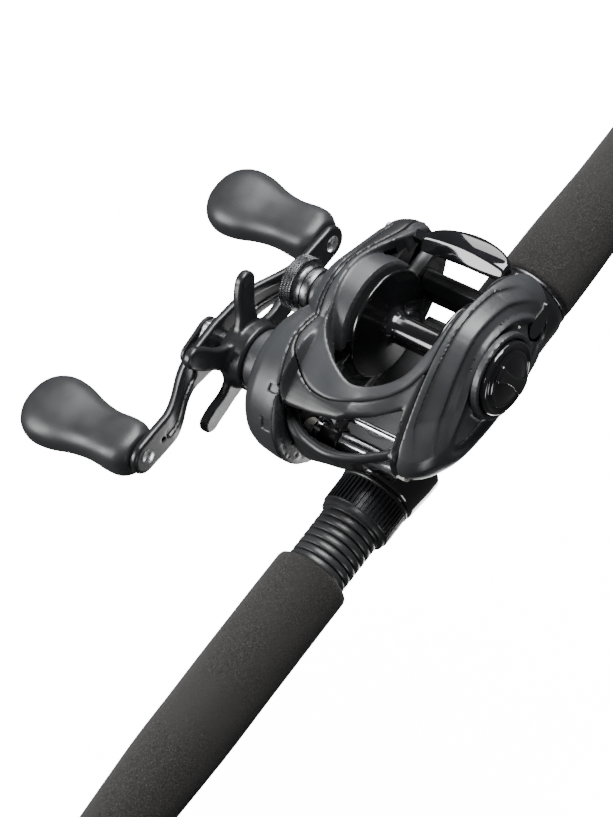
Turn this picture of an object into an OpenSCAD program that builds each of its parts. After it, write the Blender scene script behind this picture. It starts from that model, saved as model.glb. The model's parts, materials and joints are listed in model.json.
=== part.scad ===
// Baitcasting rod and low-profile reel, right-hand retrieve.
// Millimetres. +X runs along the rod from butt to tip, +Y is the angler's left,
// +Z is up. The origin is the centre of the butt cap's end face.
// Reel pieces are drawn in the reel's own frame: rod axis at y = z = 0 and the
// spool axis at x = 0, so reel() carries them along the rod.

/* [Rod] */
// Overall length of the rod, butt to tip
rod_len = 1830; // [1650:10:2130]
// Distance from the butt to the spool axis
reel_x = 290; // [270:5:320]
// Blank radius inside the handle
blank_r = 6; // [5.5:0.1:6.2]
// Blank radius at the tip
blank_tip_r = 1; // [0.8:0.1:1.3]
// Foregrip radius at its full section
fore_grip_r = 12; // [11:0.25:13]
// Foregrip length
fore_grip_len = 146.2; // [120:0.1:200]
// Rear grip radius along its straight part
rear_grip_r = 11.7; // [11:0.1:13]

/* [Reel seat] */
// Barrel radius under the reel foot
barrel_r = 10.6; // [10.4:0.1:10.8]
// Thread crest radius
thread_r = 9.6; // [9.4:0.1:9.8]
// Thread pitch
thread_pitch = 2.6; // [2.5:0.1:2.7]
// Outer radius of both hoods
hood_r = 13.2; // [13:0.1:13.4]
// Outer radius of the lock nut
nut_r = 11.3; // [11:0.1:11.6]

/* [Reel] */
// Height of the spool axis over the rod axis
spool_z = 33; // [33:1:34]
// Radius of the spool flanges
flange_r = 17; // [16.5:0.1:17.1]
// Radius of the spool arbor
arbor_r = 4.5; // [4:0.1:6]
// Half the width of the spool
spool_half = 14; // [13:0.1:14.2]
// Handle length between the two knob axes
handle_span = 91.7; // [86:0.1:96]
// Teeth of the main gear
gear_teeth = 54; // [54]
// Teeth of the pinion
pinion_teeth = 10; // [10]
// Radius of the brake dial
dial_r = 11.6; // [10.5:0.1:11.8]

/* [Hidden] */

$fn = 64;
eps = 0.01;

// Running and sliding clearances on the radius.
fit = 0.06;
loose = 0.09;

// Gear train. The pinion sits on the spool axis and the main gear on the drive axis.
gear_module = 0.8;
drive_x = 24.3;
drive_z = 25;
gear_dist = gear_module * (gear_teeth + pinion_teeth) / 2;
drive_lean = atan2(spool_z - drive_z, -drive_x);
pinion_x = drive_x + gear_dist * cos(drive_lean);
pinion_z = drive_z + gear_dist * sin(drive_lean);
cog_teeth = 20;
worm_teeth = 10;
cog_dist = gear_module * (cog_teeth + worm_teeth) / 2;
worm_lean = -5;
worm_x = drive_x + cog_dist * cos(worm_lean);
worm_z = drive_z + cog_dist * sin(worm_lean);

// Stations across the reel, along Y.
wall_in = 15.2;
wall_out = 19;
pocket_y = 17.4;
gear_y = [-31, -27];
cog_y = [-24, -21];
axis_x = pinion_x;
axis_z = pinion_z;

// Circles that the side outlines are built from: [x, z, radius].
crown = [axis_x, axis_z, 20];
stern = [-22, 33, 12];
bow_gear = [drive_x, drive_z, 19.5];
bow_palm = [27, 28, 13.5];
lever_pos = [-20.5, 30];
housing_r = 24.2;
housing_in_r = 22.7;

// Shaft sizes.
spool_shaft_r = 1.6;
drive_shaft_r = 3;
worm_shaft_r = 1.6;
guide_rod_pos = [30.5, 28.5];
guide_rod_r = 1.1;
guide_y = -9;
post_r = 1.1;
post_z = [-11, 11];
screw_spots = [[-30, 33], [-25, 41], [-25, 25]];

// Stations along the rod, in the reel's frame.
seat_back = -44;
trim_len = 1.5;
thread_start = 37.4;
seat_front = 68.8;
hood_len = 14.6;
nut_len = 12.8;
foot_half = 29;
foot_w = 14;
foot_t = 1.4;

// Handle.
arm_tilt = 3.12;
arm_end_y = -53.2;
arm_bow = 7.4;
arm_t = 2.4;

// Rod stations from the butt.
grip_end_x = reel_x + seat_front + fore_grip_len;
tip_tube_len = 12;

// Line guides: distance back from the tip and inner radius of the ring.
guides = [[100, 3.1], [210, 3.1], [335, 3.1], [475, 3.3], [635, 3.8], [820, 4.6], [1020, 5.8]];
ring_wall = 0.9;
holder_wall = 1;
ring_len = 1.8;

function lerp(a, b, t) = a + (b - a) * t;
function blank_at(x) = x < grip_end_x ? blank_r
    : lerp(blank_r, blank_tip_r, (x - grip_end_x) / (rod_len - 4 - grip_end_x));

// ---- helpers ------------------------------------------------------------

// Carries a piece from the reel's frame to its place on the rod.
module reel() { translate([reel_x, 0, 0]) children(); }

// Cylinder along Y between two stations.
module ycyl(r, y0, y1, x = 0, z = 0) {
    translate([x, y0, z]) rotate([-90, 0, 0]) cylinder(r = r, h = y1 - y0);
}

// Tube along Y.
module ytube(r_out, r_in, y0, y1, x = 0, z = 0) {
    difference() {
        ycyl(r_out, y0, y1, x, z);
        ycyl(r_in, y0 - 1, y1 + 1, x, z);
    }
}

// Cylinder along X between two stations.
module xcyl(r, x0, x1, y = 0, z = 0) {
    translate([x0, y, z]) rotate([0, 90, 0]) cylinder(r = r, h = x1 - x0);
}

// Turns a profile of [radius, station] points about the X axis.
module x_turned(points) {
    rotate([0, 90, 0]) rotate_extrude() polygon(points);
}

// Turns a profile of [radius, station] points about a Y axis through (x, z).
module y_turned(points, x = 0, z = 0) {
    translate([x, 0, z]) rotate([-90, 0, 0]) rotate_extrude() polygon(points);
}

// Plate between two Y stations whose outline is drawn in X and Z.
module yplate(y0, y1) {
    translate([0, y1, 0]) rotate([90, 0, 0]) linear_extrude(y1 - y0) children();
}

// Box between two corners.
module span(lo, hi) { translate(lo) cube(hi - lo); }

// Outline of two circles joined by their outer tangents; a and b are [x, z, radius].
function arc(c, r, t0, t1) = let (n = ceil((t1 - t0) / 9))
    [for (i = [0:n]) let (t = lerp(t0, t1, i / n)) [c[0] + r * cos(t), c[1] + r * sin(t)]];
module belt(a, b, grow = 0) {
    base = atan2(b[1] - a[1], b[0] - a[0]);
    open = acos((a[2] - b[2]) / norm([b[0] - a[0], b[1] - a[1]]));
    polygon(concat(arc(a, a[2] + grow, base + open, base + 360 - open),
                   arc(b, b[2] + grow, base - open, base + open)));
}

// Involute spur gear outline with short teeth; a tooth is centred on angle 0.
function involute(a) = tan(a) * 180 / PI - a;
function half_tooth(n, rb, r) =
    90 / n * 0.94 + involute(20) - involute(acos(min(1, rb / r)));
function tooth_side(n, radii, rb, side) =
    [for (r = radii) [r, side * half_tooth(n, rb, max(r, rb))]];
module gear2d(n, phase) {
    rp = gear_module * n / 2;
    rb = rp * cos(20);
    tip = rp + 0.6 * gear_module;
    root = rp - 0.85 * gear_module;
    radii = root < rb ? [root, rb, rp, tip] : [root, rp, tip];
    up = tooth_side(n, radii, rb, -1);
    down = [for (i = [len(radii) - 1:-1:0]) [up[i][0], -up[i][1]]];
    polygon([for (k = [0:n - 1]) for (q = concat(up, down))
        let (t = phase + k * 360 / n + q[1]) [q[0] * cos(t), q[0] * sin(t)]]);
}

// Outline with n small V grooves round its edge.
module serrated2d(r, n, depth) {
    polygon([for (k = [0:2 * n - 1]) let (q = k % 2 == 0 ? r : r - depth)
        [q * cos(k * 180 / n), q * sin(k * 180 / n)]]);
}

// Coil spring along Y, as a swept tube.
module coil(r, wire, y0, y1, turns, x, z) {
    steps = 10 * turns;
    sides = 6;
    ring = [for (i = [0:steps]) for (j = [0:sides - 1])
        let (t = i * 36, s = j * 360 / sides, rr = r + wire * cos(s))
        [x + rr * cos(t), lerp(y0, y1, i / steps) + wire * sin(s), z + rr * sin(t)]];
    walls = [for (i = [0:steps - 1]) for (j = [0:sides - 1])
        let (a = i * sides + j, b = i * sides + (j + 1) % sides)
        [a, b, b + sides, a + sides]];
    ends = [[for (j = [sides - 1:-1:0]) j],
            [for (j = [0:sides - 1]) steps * sides + j]];
    polyhedron(ring, concat(walls, ends));
}

// Side outlines of the reel.
module gear_outline(grow = 0) {
    belt(crown, stern, grow);
    belt(crown, bow_gear, grow);
}
module palm_outline(grow = 0) {
    belt(crown, stern, grow);
    belt(crown, bow_palm, grow);
}

// The handle's own frame: X along the arm, Y along the drive axis.
module on_handle() {
    translate([drive_x, 0, drive_z]) rotate([0, -arm_tilt, 0]) children();
}

// ---- rod ----------------------------------------------------------------

module rod_blank() color([0.07, 0.07, 0.08]) {
    x_turned([[0, 4], [blank_r, 4], [blank_r, grip_end_x], [blank_tip_r, rod_len - 4],
              [0, rod_len - 4]]);
}

module butt_cap() color([0.09, 0.09, 0.09]) {
    difference() {
        x_turned([[0, 0], [10, 0], [12.2, 1.2], [13.2, 3.6], [13.2, 18], [12.6, 20],
                  [0, 20]]);
        xcyl(blank_r, 4, 21);
    }
}

module rear_grip() color([0.19, 0.18, 0.17]) {
    end_x = reel_x + seat_back - trim_len;
    x_turned([[blank_r, 20], [rear_grip_r, 20], [rear_grip_r, end_x - 46],
              [rear_grip_r + 0.3, end_x - 34], [rear_grip_r + 1, end_x - 10],
              [rear_grip_r + 1.1, end_x - 1], [rear_grip_r + 0.5, end_x],
              [blank_r, end_x]]);
}

module seat_end_ring() color([0.6, 0.61, 0.62]) reel() {
    x_turned([[blank_r, seat_back - trim_len], [12.4, seat_back - trim_len],
              [12.7, seat_back - trim_len + 0.3], [12.7, seat_back], [blank_r, seat_back]]);
}

// Band over the barrel where a foot tab slides in.
module foot_pocket(x0, x1) {
    intersection() {
        difference() {
            xcyl(barrel_r + foot_t + 0.25, x0, x1);
            xcyl(barrel_r, x0 - 1, x1 + 1);
        }
        span([x0, -foot_w / 2 - 0.3, 0], [x1, foot_w / 2 + 0.3, 20]);
    }
}

module reel_seat() color([0.05, 0.05, 0.055]) reel() {
    ridges = [for (k = [0:10]) for (q = [[thread_r - 0.9, 0.2], [thread_r, 0.5],
        [thread_r, 2.1], [thread_r - 0.9, 2.4]])
        [q[0], thread_start + 0.6 + k * thread_pitch + q[1]]];
    difference() {
        union() {
            x_turned(concat([[blank_r, seat_back], [hood_r - 0.6, seat_back],
                [hood_r, seat_back + 2], [hood_r, -22], [barrel_r, -22],
                [barrel_r, thread_start], [thread_r - 0.9, thread_start]], ridges,
                [[thread_r - 0.9, seat_front], [blank_r, seat_front]]));
            // Finger trigger under the barrel.
            yplate(-3.2, 3.2) polygon([[-24, -9], [-15, -9.5], [-9, -12], [-7, -17],
                [-8.5, -22.5], [-11.5, -24.5], [-14, -23.5], [-13.5, -19], [-16, -14.5],
                [-24, -12.5]]);
        }
        foot_pocket(-foot_half - 0.4, -21);
        xcyl(blank_r, -20, 0);
    }
}

module sliding_hood() color([0.05, 0.05, 0.055]) reel() {
    x0 = 22;
    difference() {
        x_turned([[barrel_r + loose, x0], [hood_r, x0], [hood_r, x0 + hood_len - 1.5],
                  [hood_r - 1.2, x0 + hood_len], [barrel_r + loose, x0 + hood_len]]);
        foot_pocket(x0 - 1, foot_half + 0.4);
    }
}

module lock_nut() color([0.12, 0.12, 0.13]) reel() {
    x0 = 22 + hood_len + 0.2;
    difference() {
        union() {
            translate([x0 + 1.2, 0, 0]) rotate([0, 90, 0]) linear_extrude(9.6)
                serrated2d(nut_r, 48, 0.45);
            x_turned([[thread_r - 0.5, x0], [nut_r, x0], [nut_r + 0.3, x0 + 0.3],
                      [nut_r + 0.3, x0 + 1.2 + eps], [thread_r - 0.5, x0 + 1.2 + eps]]);
            x_turned([[thread_r - 0.5, x0 + 10.8 - eps], [nut_r - 0.4, x0 + 10.8 - eps],
                      [nut_r - 0.4, x0 + nut_len - 0.6], [nut_r - 0.8, x0 + nut_len - 0.2],
                      [thread_r - 0.5, x0 + nut_len - 0.2]]);
        }
        xcyl(thread_r + loose, x0 - 1, x0 + nut_len + 1);
        xcyl(barrel_r + loose, x0 - 1, thread_start + 0.2);
    }
}

module fore_grip() color([0.19, 0.18, 0.17]) {
    x0 = reel_x + seat_front;
    r = fore_grip_r;
    x_turned([[blank_r, x0], [r - 0.9, x0], [r - 0.25, x0 + 0.5], [r, x0 + 1.4],
              [r, x0 + 64], [r - 0.5, x0 + 82], [r - 1.5, x0 + 104], [r - 2.9, x0 + 130],
              [r - 4, grip_end_x - 4], [r - 4.8, grip_end_x], [blank_r, grip_end_x]]);
}

module winding_check() color([0.55, 0.56, 0.58]) {
    x_turned([[blank_at(grip_end_x + 4), grip_end_x], [7.6, grip_end_x],
              [7.6, grip_end_x + 1], [6.7, grip_end_x + 4],
              [blank_at(grip_end_x + 4), grip_end_x + 4]]);
}

// Height of a guide's ring centre over the rod axis.
function ring_height(g) = blank_at(rod_len - g[0]) + g[1] + ring_wall + holder_wall
    + 1 + g[1] * 0.5;

module guide_frames() color([0.5, 0.51, 0.53]) {
    for (g = guides) {
        x = rod_len - g[0];
        b = blank_at(x);
        h = ring_height(g);
        outer = g[1] + ring_wall + holder_wall;
        reach = outer * 1.5 + 4;
        difference() {
            union() {
                xcyl(outer, x - ring_len / 2, x + ring_len / 2, 0, h);
                // Legs run fore and aft from the ring down to the feet.
                yplate(-0.9, 0.9) {
                    polygon([[x - 0.8, h - outer + 0.6], [x + 0.8, h - outer + 0.6],
                             [x + reach, b + 1.1], [x + reach, b - 0.2], [x + 4, b - 0.2]]);
                    polygon([[x - 0.8, h - outer + 0.6], [x + 0.8, h - outer + 0.6],
                             [x - 4, b - 0.2], [x - reach, b - 0.2], [x - reach, b + 1.1]]);
                }
                span([x - reach - 9, -0.9, b - 0.3], [x - reach + 1, 0.9, b + 0.7]);
                span([x + reach - 1, -0.9, b - 0.3], [x + reach + 9, 0.9, b + 0.7]);
            }
            xcyl(g[1] + ring_wall, x - 4, x + 4, 0, h);
            // Window between the legs, under the ring.
            yplate(-2, 2) polygon([[x - 2.6, b + 0.9], [x, h - outer - 0.6],
                                   [x + 2.6, b + 0.9]]);
        }
    }
}

module guide_rings() color([0.16, 0.17, 0.19]) {
    for (g = guides) {
        x = rod_len - g[0];
        translate([0, 0, ring_height(g)]) x_turned([
            [g[1] + ring_wall, x - ring_len / 2 - 0.2], [g[1] + ring_wall, x + ring_len / 2 + 0.2],
            [g[1] + 0.3, x + ring_len / 2 + 0.2], [g[1], x + 0.5], [g[1], x - 0.5],
            [g[1] + 0.3, x - ring_len / 2 - 0.2]]);
    }
}

module guide_wraps() color([0.08, 0.08, 0.1]) {
    for (g = guides) for (side = [-1, 1]) {
        x = rod_len - g[0] + side * ((g[1] + ring_wall + holder_wall) * 1.5 + 9.5);
        r = blank_at(x - 5.5);
        x_turned([[r - 0.15, x - 5.5], [r + 0.5, x - 5.5], [r + 0.95, x - 4],
                  [r + 0.95, x + 4], [r + 0.4, x + 5.5], [r - 0.15, x + 5.5]]);
    }
}

tip_ring_r = 2.6;
tip_ring_z = 3.6;
module tip_top() color([0.5, 0.51, 0.53]) {
    x1 = rod_len - 1;
    difference() {
        union() {
            xcyl(1.9, x1 - tip_tube_len, x1 - 1.2);
            xcyl(tip_ring_r + 1.9, x1 - 1, x1 + 1, 0, tip_ring_z);
            yplate(-0.8, 0.8) polygon([[x1 - 9, 0.9], [x1 - 8, 2.4],
                [x1 - 0.6, tip_ring_z + 3.6], [x1 - 0.6, 0], [x1 - 3, 0]]);
        }
        xcyl(tip_ring_r + ring_wall, x1 - 10, x1 + 3, 0, tip_ring_z);
        xcyl(blank_tip_r, x1 - 20, rod_len - 4);
    }
}

module tip_ring() color([0.16, 0.17, 0.19]) {
    x1 = rod_len - 1;
    translate([0, 0, tip_ring_z]) x_turned([[tip_ring_r, x1 - 0.9],
        [tip_ring_r + ring_wall, x1 - 1], [tip_ring_r + ring_wall, x1 + 1],
        [tip_ring_r, x1 + 0.9]]);
}

// ---- reel frame and shells ----------------------------------------------

// Outline of the deck under the spool, with the front lip of the line window.
deck = [[-17.5, 12.5], [19.5, 12.5], [21, 13.6], [37, 14.8], [41.8, 19], [43.4, 25], [43, 31],
        [41, 31], [41, 21.5], [37.5, 16.4], [28, 15.4], [18, 14.6], [-15.5, 14.6], [-17.5, 13.8]];
rear_bridge = [[-22.5, 31], [-24, 28.5], [-25.5, 24.5], [-24, 21.5], [-20.5, 19.8], [-18.6, 21.2],
               [-18.9, 26], [-20.4, 30]];

module reel_frame() color([0.2, 0.21, 0.22]) reel() {
    difference() {
        union() {
            yplate(-wall_out, -wall_in) gear_outline();
            yplate(wall_in, wall_out) palm_outline();
            yplate(-wall_in - eps, wall_in + eps) polygon(deck);
            yplate(-wall_in - eps, wall_in + eps) polygon(rear_bridge);
            ycyl(6.4, -20.6, -wall_out + eps, axis_x, axis_z);
            for (z = post_z) ycyl(post_r, -31.6, -wall_out + eps, axis_x - 2, axis_z + z);
        }
        // Spool pocket on the gear side and the palm side's spool hole.
        ycyl(flange_r + 0.6, -pocket_y, -wall_in + 1, axis_x, axis_z);
        ycyl(flange_r + 0.8, wall_in - 1, wall_out + 1, axis_x, axis_z);
        // Pinion bearing seat and the drive shaft's inner bearing.
        ycyl(5, -21, -pocket_y + 1, axis_x, axis_z);
        ycyl(2 + fit, -wall_out - 1, -16, drive_x, drive_z);
        // Worm bushings and the guide rod's ends.
        for (s = [-1, 1]) ycyl(2.6, min(s * 14, s * 20), max(s * 14, s * 20), worm_x, worm_z);
        // Slot where the thumb bar's lug reaches the clutch.
        span([-28.4, -wall_out - 1, 34.5], [-23.6, -wall_in + 1, 50]);
    }
}

module reel_foot() color([0.25, 0.26, 0.27]) reel() {
    difference() {
        union() {
            intersection() {
                xcyl(barrel_r + foot_t, -foot_half, foot_half);
                span([-foot_half, -foot_w / 2, 2], [foot_half, foot_w / 2, 16]);
            }
            span([-19, -foot_w / 2, 6], [19, foot_w / 2, 12.5]);
        }
        xcyl(barrel_r, -foot_half - 1, foot_half + 1);
        for (x = [-12, 0, 12]) translate([x, 0, 9]) cylinder(r = 1.5, h = 4);
    }
}

module foot_screws() color([0.7, 0.71, 0.72]) reel() {
    for (x = [-12, 0, 12]) translate([x, 0, 10.8]) cylinder(r = 1.5, h = 1.7);
}

module top_cover() color([0.24, 0.25, 0.27]) reel() {
    // Thumb rest across the front.
    yplate(-wall_in, wall_in) polygon([[18, 47.8], [24, 47.2], [31, 45], [36, 42.4],
        [37.6, 40.4], [36.4, 39], [31, 40.6], [26, 42], [18, 45]]);
    // Limbs that cap the two side walls.
    intersection() {
        yplate(-wall_out, -wall_in) difference() {
            gear_outline(1.8);
            gear_outline(0.02);
        }
        span([-30, -30, 41.5], [31, 30, 60]);
    }
    intersection() {
        yplate(wall_in, wall_out) difference() {
            palm_outline(1.8);
            palm_outline(0.02);
        }
        span([-30, -30, 38], [37, 30, 60]);
    }
}

module gear_side_cover() color([0.22, 0.23, 0.25]) reel() {
    y_in = -wall_out - 0.2;
    difference() {
        union() {
            y_turned([[0, y_in], [housing_r, y_in], [housing_r, -29], [23, -32], [20.4, -35],
                      [16, -37.6], [9.8, -38.8], [9.8, -44.8], [0, -44.8]], drive_x, drive_z);
            y_turned([[0, y_in - 0.3], [19.4, y_in - 0.3], [19.4, -28.6], [18, -31], [14, -34],
                      [6.2, -36.4], [6.2, -42], [0, -42]], axis_x, axis_z);
            yplate(-28, y_in) belt(crown, stern, -0.2);
        }
        y_turned([[0, y_in + 1], [housing_in_r, y_in + 1], [housing_in_r, -31.5], [19, -34.2],
                  [14, -35.4], [8.5, -35.4], [8.5, -46], [0, -46]], drive_x, drive_z);
        y_turned([[0, y_in + 1.2], [17.2, y_in + 1.2], [17.2, -28.2], [14, -31.6], [8, -34.2],
                  [5, -34.2], [5, -43], [0, -43]], axis_x, axis_z);
        yplate(-26.4, y_in + 0.8) belt(crown, stern, -2);
    }
}

// Screws that hold the gear side cover, seen as heads in recesses.
module cover_screws() color([0.6, 0.61, 0.62]) reel() {
    for (p = screw_spots) ycyl(1.6, -29.2, -28, p[0], p[1]);
}

module palm_side_plate() color([0.22, 0.23, 0.25]) reel() {
    y0 = wall_out + 0.2;
    difference() {
        union() {
            yplate(y0, 23.5) palm_outline(-0.2);
            yplate(23.5 - eps, 26.5) palm_outline(-2.2);
            yplate(26.5 - eps, 29) palm_outline(-5);
            y_turned([[0, 29 - eps], [14.2, 29 - eps], [13.4, 30.4], [0, 30.4]], axis_x, axis_z);
        }
        yplate(y0 - 1, 22) palm_outline(-2.2);
        ycyl(14.8, y0 - 1, 26, axis_x, axis_z);
        ycyl(dial_r + 0.3, 28, 32, axis_x, axis_z);
        ycyl(1.5 + fit, 20, 30, axis_x, axis_z);
        // Notch for the lock lever at the rear.
        yplate(24, 33) belt([lever_pos[0], lever_pos[1], 5.9], [-34, 33, 6.6]);
        ycyl(1.4 + fit, 20, 30, lever_pos[0], lever_pos[1]);
    }
}

module palm_bearing_plate() color([0.1, 0.1, 0.11]) reel() {
    difference() {
        union() {
            ytube(flange_r + 0.72, 15.6, 15.6, wall_out + 0.2, axis_x, axis_z);
            ycyl(16, 15.6, 17, axis_x, axis_z);
            ycyl(6.4, 15.6, 18.8, axis_x, axis_z);
        }
        ycyl(5, 15.8, 20, axis_x, axis_z);
        ycyl(2.2, 14, 18, axis_x, axis_z);
    }
}

module plate_lock_lever() color([0.05, 0.05, 0.05]) reel() {
    ycyl(1.4, 21, 24.3, lever_pos[0], lever_pos[1]);
    yplate(24.2, 26.2) belt([lever_pos[0], lever_pos[1], 3.6], [-26.5, 31.5, 2]);
}

module brake_dial() color([0.03, 0.03, 0.035]) reel() {
    y_turned([[0, 28.2], [dial_r, 28.2], [dial_r, 30.4], [dial_r - 1, 31.2],
              [dial_r - 2.2, 30.8], [dial_r - 3.4, 31.4], [5, 32.2], [0, 32.4]],
             axis_x, axis_z);
    ycyl(1.5, 22.6, 28.3, axis_x, axis_z);
}

module magnet_carrier() color([0.75, 0.74, 0.7]) reel() {
    difference() {
        union() {
            ycyl(11.5, 22.4, 24, axis_x, axis_z);
            ycyl(3.4, 22.4, 25.8, axis_x, axis_z);
        }
        ycyl(1.5 + loose, 20, 27, axis_x, axis_z);
    }
}

module brake_magnets() color([0.72, 0.73, 0.75]) reel() {
    for (k = [0:7])
        ycyl(1.9, 21, 22.4, axis_x + 8.5 * cos(k * 45), axis_z + 8.5 * sin(k * 45));
}

// ---- spool and clutch ---------------------------------------------------

module spool() color([0.04, 0.04, 0.05]) reel() {
    s = spool_half;
    y_turned([[spool_shaft_r, -s + 0.4], [7, -s + 0.4], [15.6, -s], [flange_r, -s],
              [flange_r, -s + 1.2], [15.8, -s + 1.3], [6.5, -s + 3], [arbor_r, -s + 5],
              [arbor_r, s - 5], [6.5, s - 3], [15.8, s - 1.3], [flange_r, s - 1.2],
              [flange_r, s], [15.6, s], [7, s - 0.4], [spool_shaft_r, s - 0.4]],
             axis_x, axis_z);
}

// Cross pin of the spool shaft, drawn longer by a margin when it cuts its own hole.
module pin_body(over = 0) {
    translate([axis_x - 2.3 - over, -15.7, axis_z]) rotate([0, 90, 0])
        cylinder(r = 0.5, h = 4.6 + 2 * over);
}

module spool_shaft() color([0.75, 0.76, 0.78]) reel() {
    difference() {
        ycyl(spool_shaft_r, -43, 19.4, axis_x, axis_z);
        pin_body(1);
    }
}

// Cross pin that the pinion's slot picks up.
module shaft_pin() color([0.75, 0.76, 0.78]) reel() pin_body();

module gear_side_bearings() color([0.8, 0.81, 0.83]) reel() {
    ytube(5, spool_shaft_r + fit, -41.5, -38.7, axis_x, axis_z);
    ytube(5, 2.5 + fit, -20.6, -18, axis_x, axis_z);
}

module palm_bearing() color([0.8, 0.81, 0.83]) reel() {
    ytube(5, spool_shaft_r + fit, 15.8, 18.6, axis_x, axis_z);
}

module pinion() color([0.78, 0.62, 0.3]) reel() {
    difference() {
        union() {
            translate([axis_x, 0, axis_z]) yplate(-33, -25) gear2d(pinion_teeth, drive_lean + 180);
            y_turned([[0, -36], [2.9, -36], [2.9, -25], [4.4, -25], [4.4, -24.6], [2.6, -24.6],
                      [2.6, -22.8], [4.4, -22.8], [4.4, -22.3], [2.5, -22.3], [2.5, -15],
                      [0, -15]], axis_x, axis_z);
        }
        ycyl(spool_shaft_r + loose, -40, -10, axis_x, axis_z);
        span([axis_x - 3, -16.4, axis_z - 0.7], [axis_x + 3, -14, axis_z + 0.7]);
    }
}

module pinion_yoke() color([0.7, 0.7, 0.72]) reel() {
    difference() {
        yplate(-24.5, -22.9) {
            belt([axis_x - 2, axis_z - 11, 2.4], [axis_x - 1, axis_z, 4.6]);
            belt([axis_x - 1, axis_z, 4.6], [axis_x - 2, axis_z + 11, 2.4]);
        }
        ycyl(2.6 + fit, -26, -21, axis_x, axis_z);
        span([axis_x, -26, axis_z - 2.6 - fit], [axis_x + 8, -21, axis_z + 2.6 + fit]);
        for (z = post_z) ycyl(post_r + fit, -26, -21, axis_x - 2, axis_z + z);
    }
}

module yoke_springs() color([0.8, 0.81, 0.82]) reel() {
    for (z = post_z) coil(1.6, 0.2, -31.3, -24.8, 5, axis_x - 2, axis_z + z);
}

module clutch_cam() color([0.82, 0.8, 0.76]) reel() {
    difference() {
        yplate(-22.2, -19.3) {
            translate([axis_x, axis_z]) circle(9.4);
            belt([axis_x - 6, axis_z + 1, 6], [-24.5, 39.4, 2.2]);
        }
        ycyl(6.4 + fit, -24, -18, axis_x, axis_z);
    }
}

module thumb_bar() color([0.04, 0.04, 0.045]) reel() {
    yplate(-13.8, 13.8) polygon([[-33, 41.2], [-31.4, 44.4], [-28.6, 46], [-24.6, 45.6],
        [-22, 43.4], [-21.6, 41.6], [-24, 40.4], [-28, 40], [-32, 40]]);
    span([-27.6, -wall_out - 0.1, 40.2], [-24.4, -13.8 + eps, 43.4]);
}

// ---- drive train --------------------------------------------------------

module main_gear() color([0.8, 0.66, 0.36]) reel() {
    difference() {
        translate([drive_x, 0, drive_z]) yplate(gear_y[0], gear_y[1])
            gear2d(gear_teeth, drive_lean + 180 / gear_teeth);
        ycyl(drive_shaft_r, -40, -20, drive_x, drive_z);
        ycyl(14, -32, -29.6, drive_x, drive_z);
    }
}

module drive_shaft() color([0.7, 0.71, 0.73]) reel() {
    ycyl(drive_shaft_r, -66.5, -19.3, drive_x, drive_z);
    ycyl(2, -19.4, -16.4, drive_x, drive_z);
}

// Friction and pressure washers, stacked in the main gear's recess.
module drag_washers() color([0.3, 0.3, 0.3]) reel() {
    for (k = [0:3])
        ytube(13.8, drive_shaft_r, -30.4 - k * 0.9, -29.6 - k * 0.9, drive_x, drive_z);
}

module clutch_sleeve() color([0.75, 0.76, 0.78]) reel() {
    ytube(5.5, drive_shaft_r, -45, -33.2, drive_x, drive_z);
}

module roller_clutch() color([0.78, 0.79, 0.8]) reel() {
    ytube(8.5, 5.5 + fit, -44.4, -35.6, drive_x, drive_z);
}

module ratchet_wheel() color([0.72, 0.72, 0.74]) reel() {
    difference() {
        translate([drive_x, 0, drive_z]) yplate(-20.8, -19.4)
            polygon([for (k = [0:9]) for (q = [[9, 0], [7, 6], [6.8, 28]])
                [q[0] * cos(k * 36 + q[1]), q[0] * sin(k * 36 + q[1])]]);
        ycyl(drive_shaft_r, -30, -10, drive_x, drive_z);
    }
}

module drive_cog() color([0.85, 0.84, 0.8]) reel() {
    difference() {
        translate([drive_x, 0, drive_z]) yplate(cog_y[0], cog_y[1])
            gear2d(cog_teeth, worm_lean + 180 / cog_teeth);
        ycyl(drive_shaft_r, -30, -10, drive_x, drive_z);
    }
}

module worm_cog() color([0.85, 0.84, 0.8]) reel() {
    difference() {
        translate([worm_x, 0, worm_z]) yplate(cog_y[0], cog_y[1])
            gear2d(worm_teeth, worm_lean + 180);
        ycyl(worm_shaft_r, -30, -10, worm_x, worm_z);
    }
}

// ---- level wind ---------------------------------------------------------

module worm_shaft() color([0.78, 0.79, 0.81]) reel() {
    grooves = [for (k = [0:8]) for (q = [[2.3, 0.4], [1.8, 0.9], [1.8, 1.9], [2.3, 2.4]])
        [q[0], -13.2 + k * 2.9 + q[1]]];
    y_turned(concat([[0, -24.4], [worm_shaft_r, -24.4], [worm_shaft_r, -14.8], [2.3, -14.8]],
        grooves, [[2.3, 14.8], [worm_shaft_r, 14.8], [worm_shaft_r, 18.6], [0, 18.6]]),
        worm_x, worm_z);
}

// Open tube round the worm; its slot faces down, towards the pawl.
module worm_guard() color([0.1, 0.1, 0.11]) reel() {
    difference() {
        ytube(3.1, 2.5, -15.1, 15.1, worm_x, worm_z);
        span([worm_x - 1.3, -20, worm_z - 5], [worm_x + 1.3, 20, worm_z - 1]);
    }
}

module worm_bushings() color([0.82, 0.7, 0.42]) reel() {
    for (s = [-1, 1])
        ytube(2.6, worm_shaft_r + fit, min(s * 15.2, s * 18.8), max(s * 15.2, s * 18.8),
              worm_x, worm_z);
}

module guide_rod() color([0.85, 0.86, 0.88]) reel() {
    ycyl(guide_rod_r, -wall_in, wall_in, guide_rod_pos[0], guide_rod_pos[1]);
}

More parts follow.
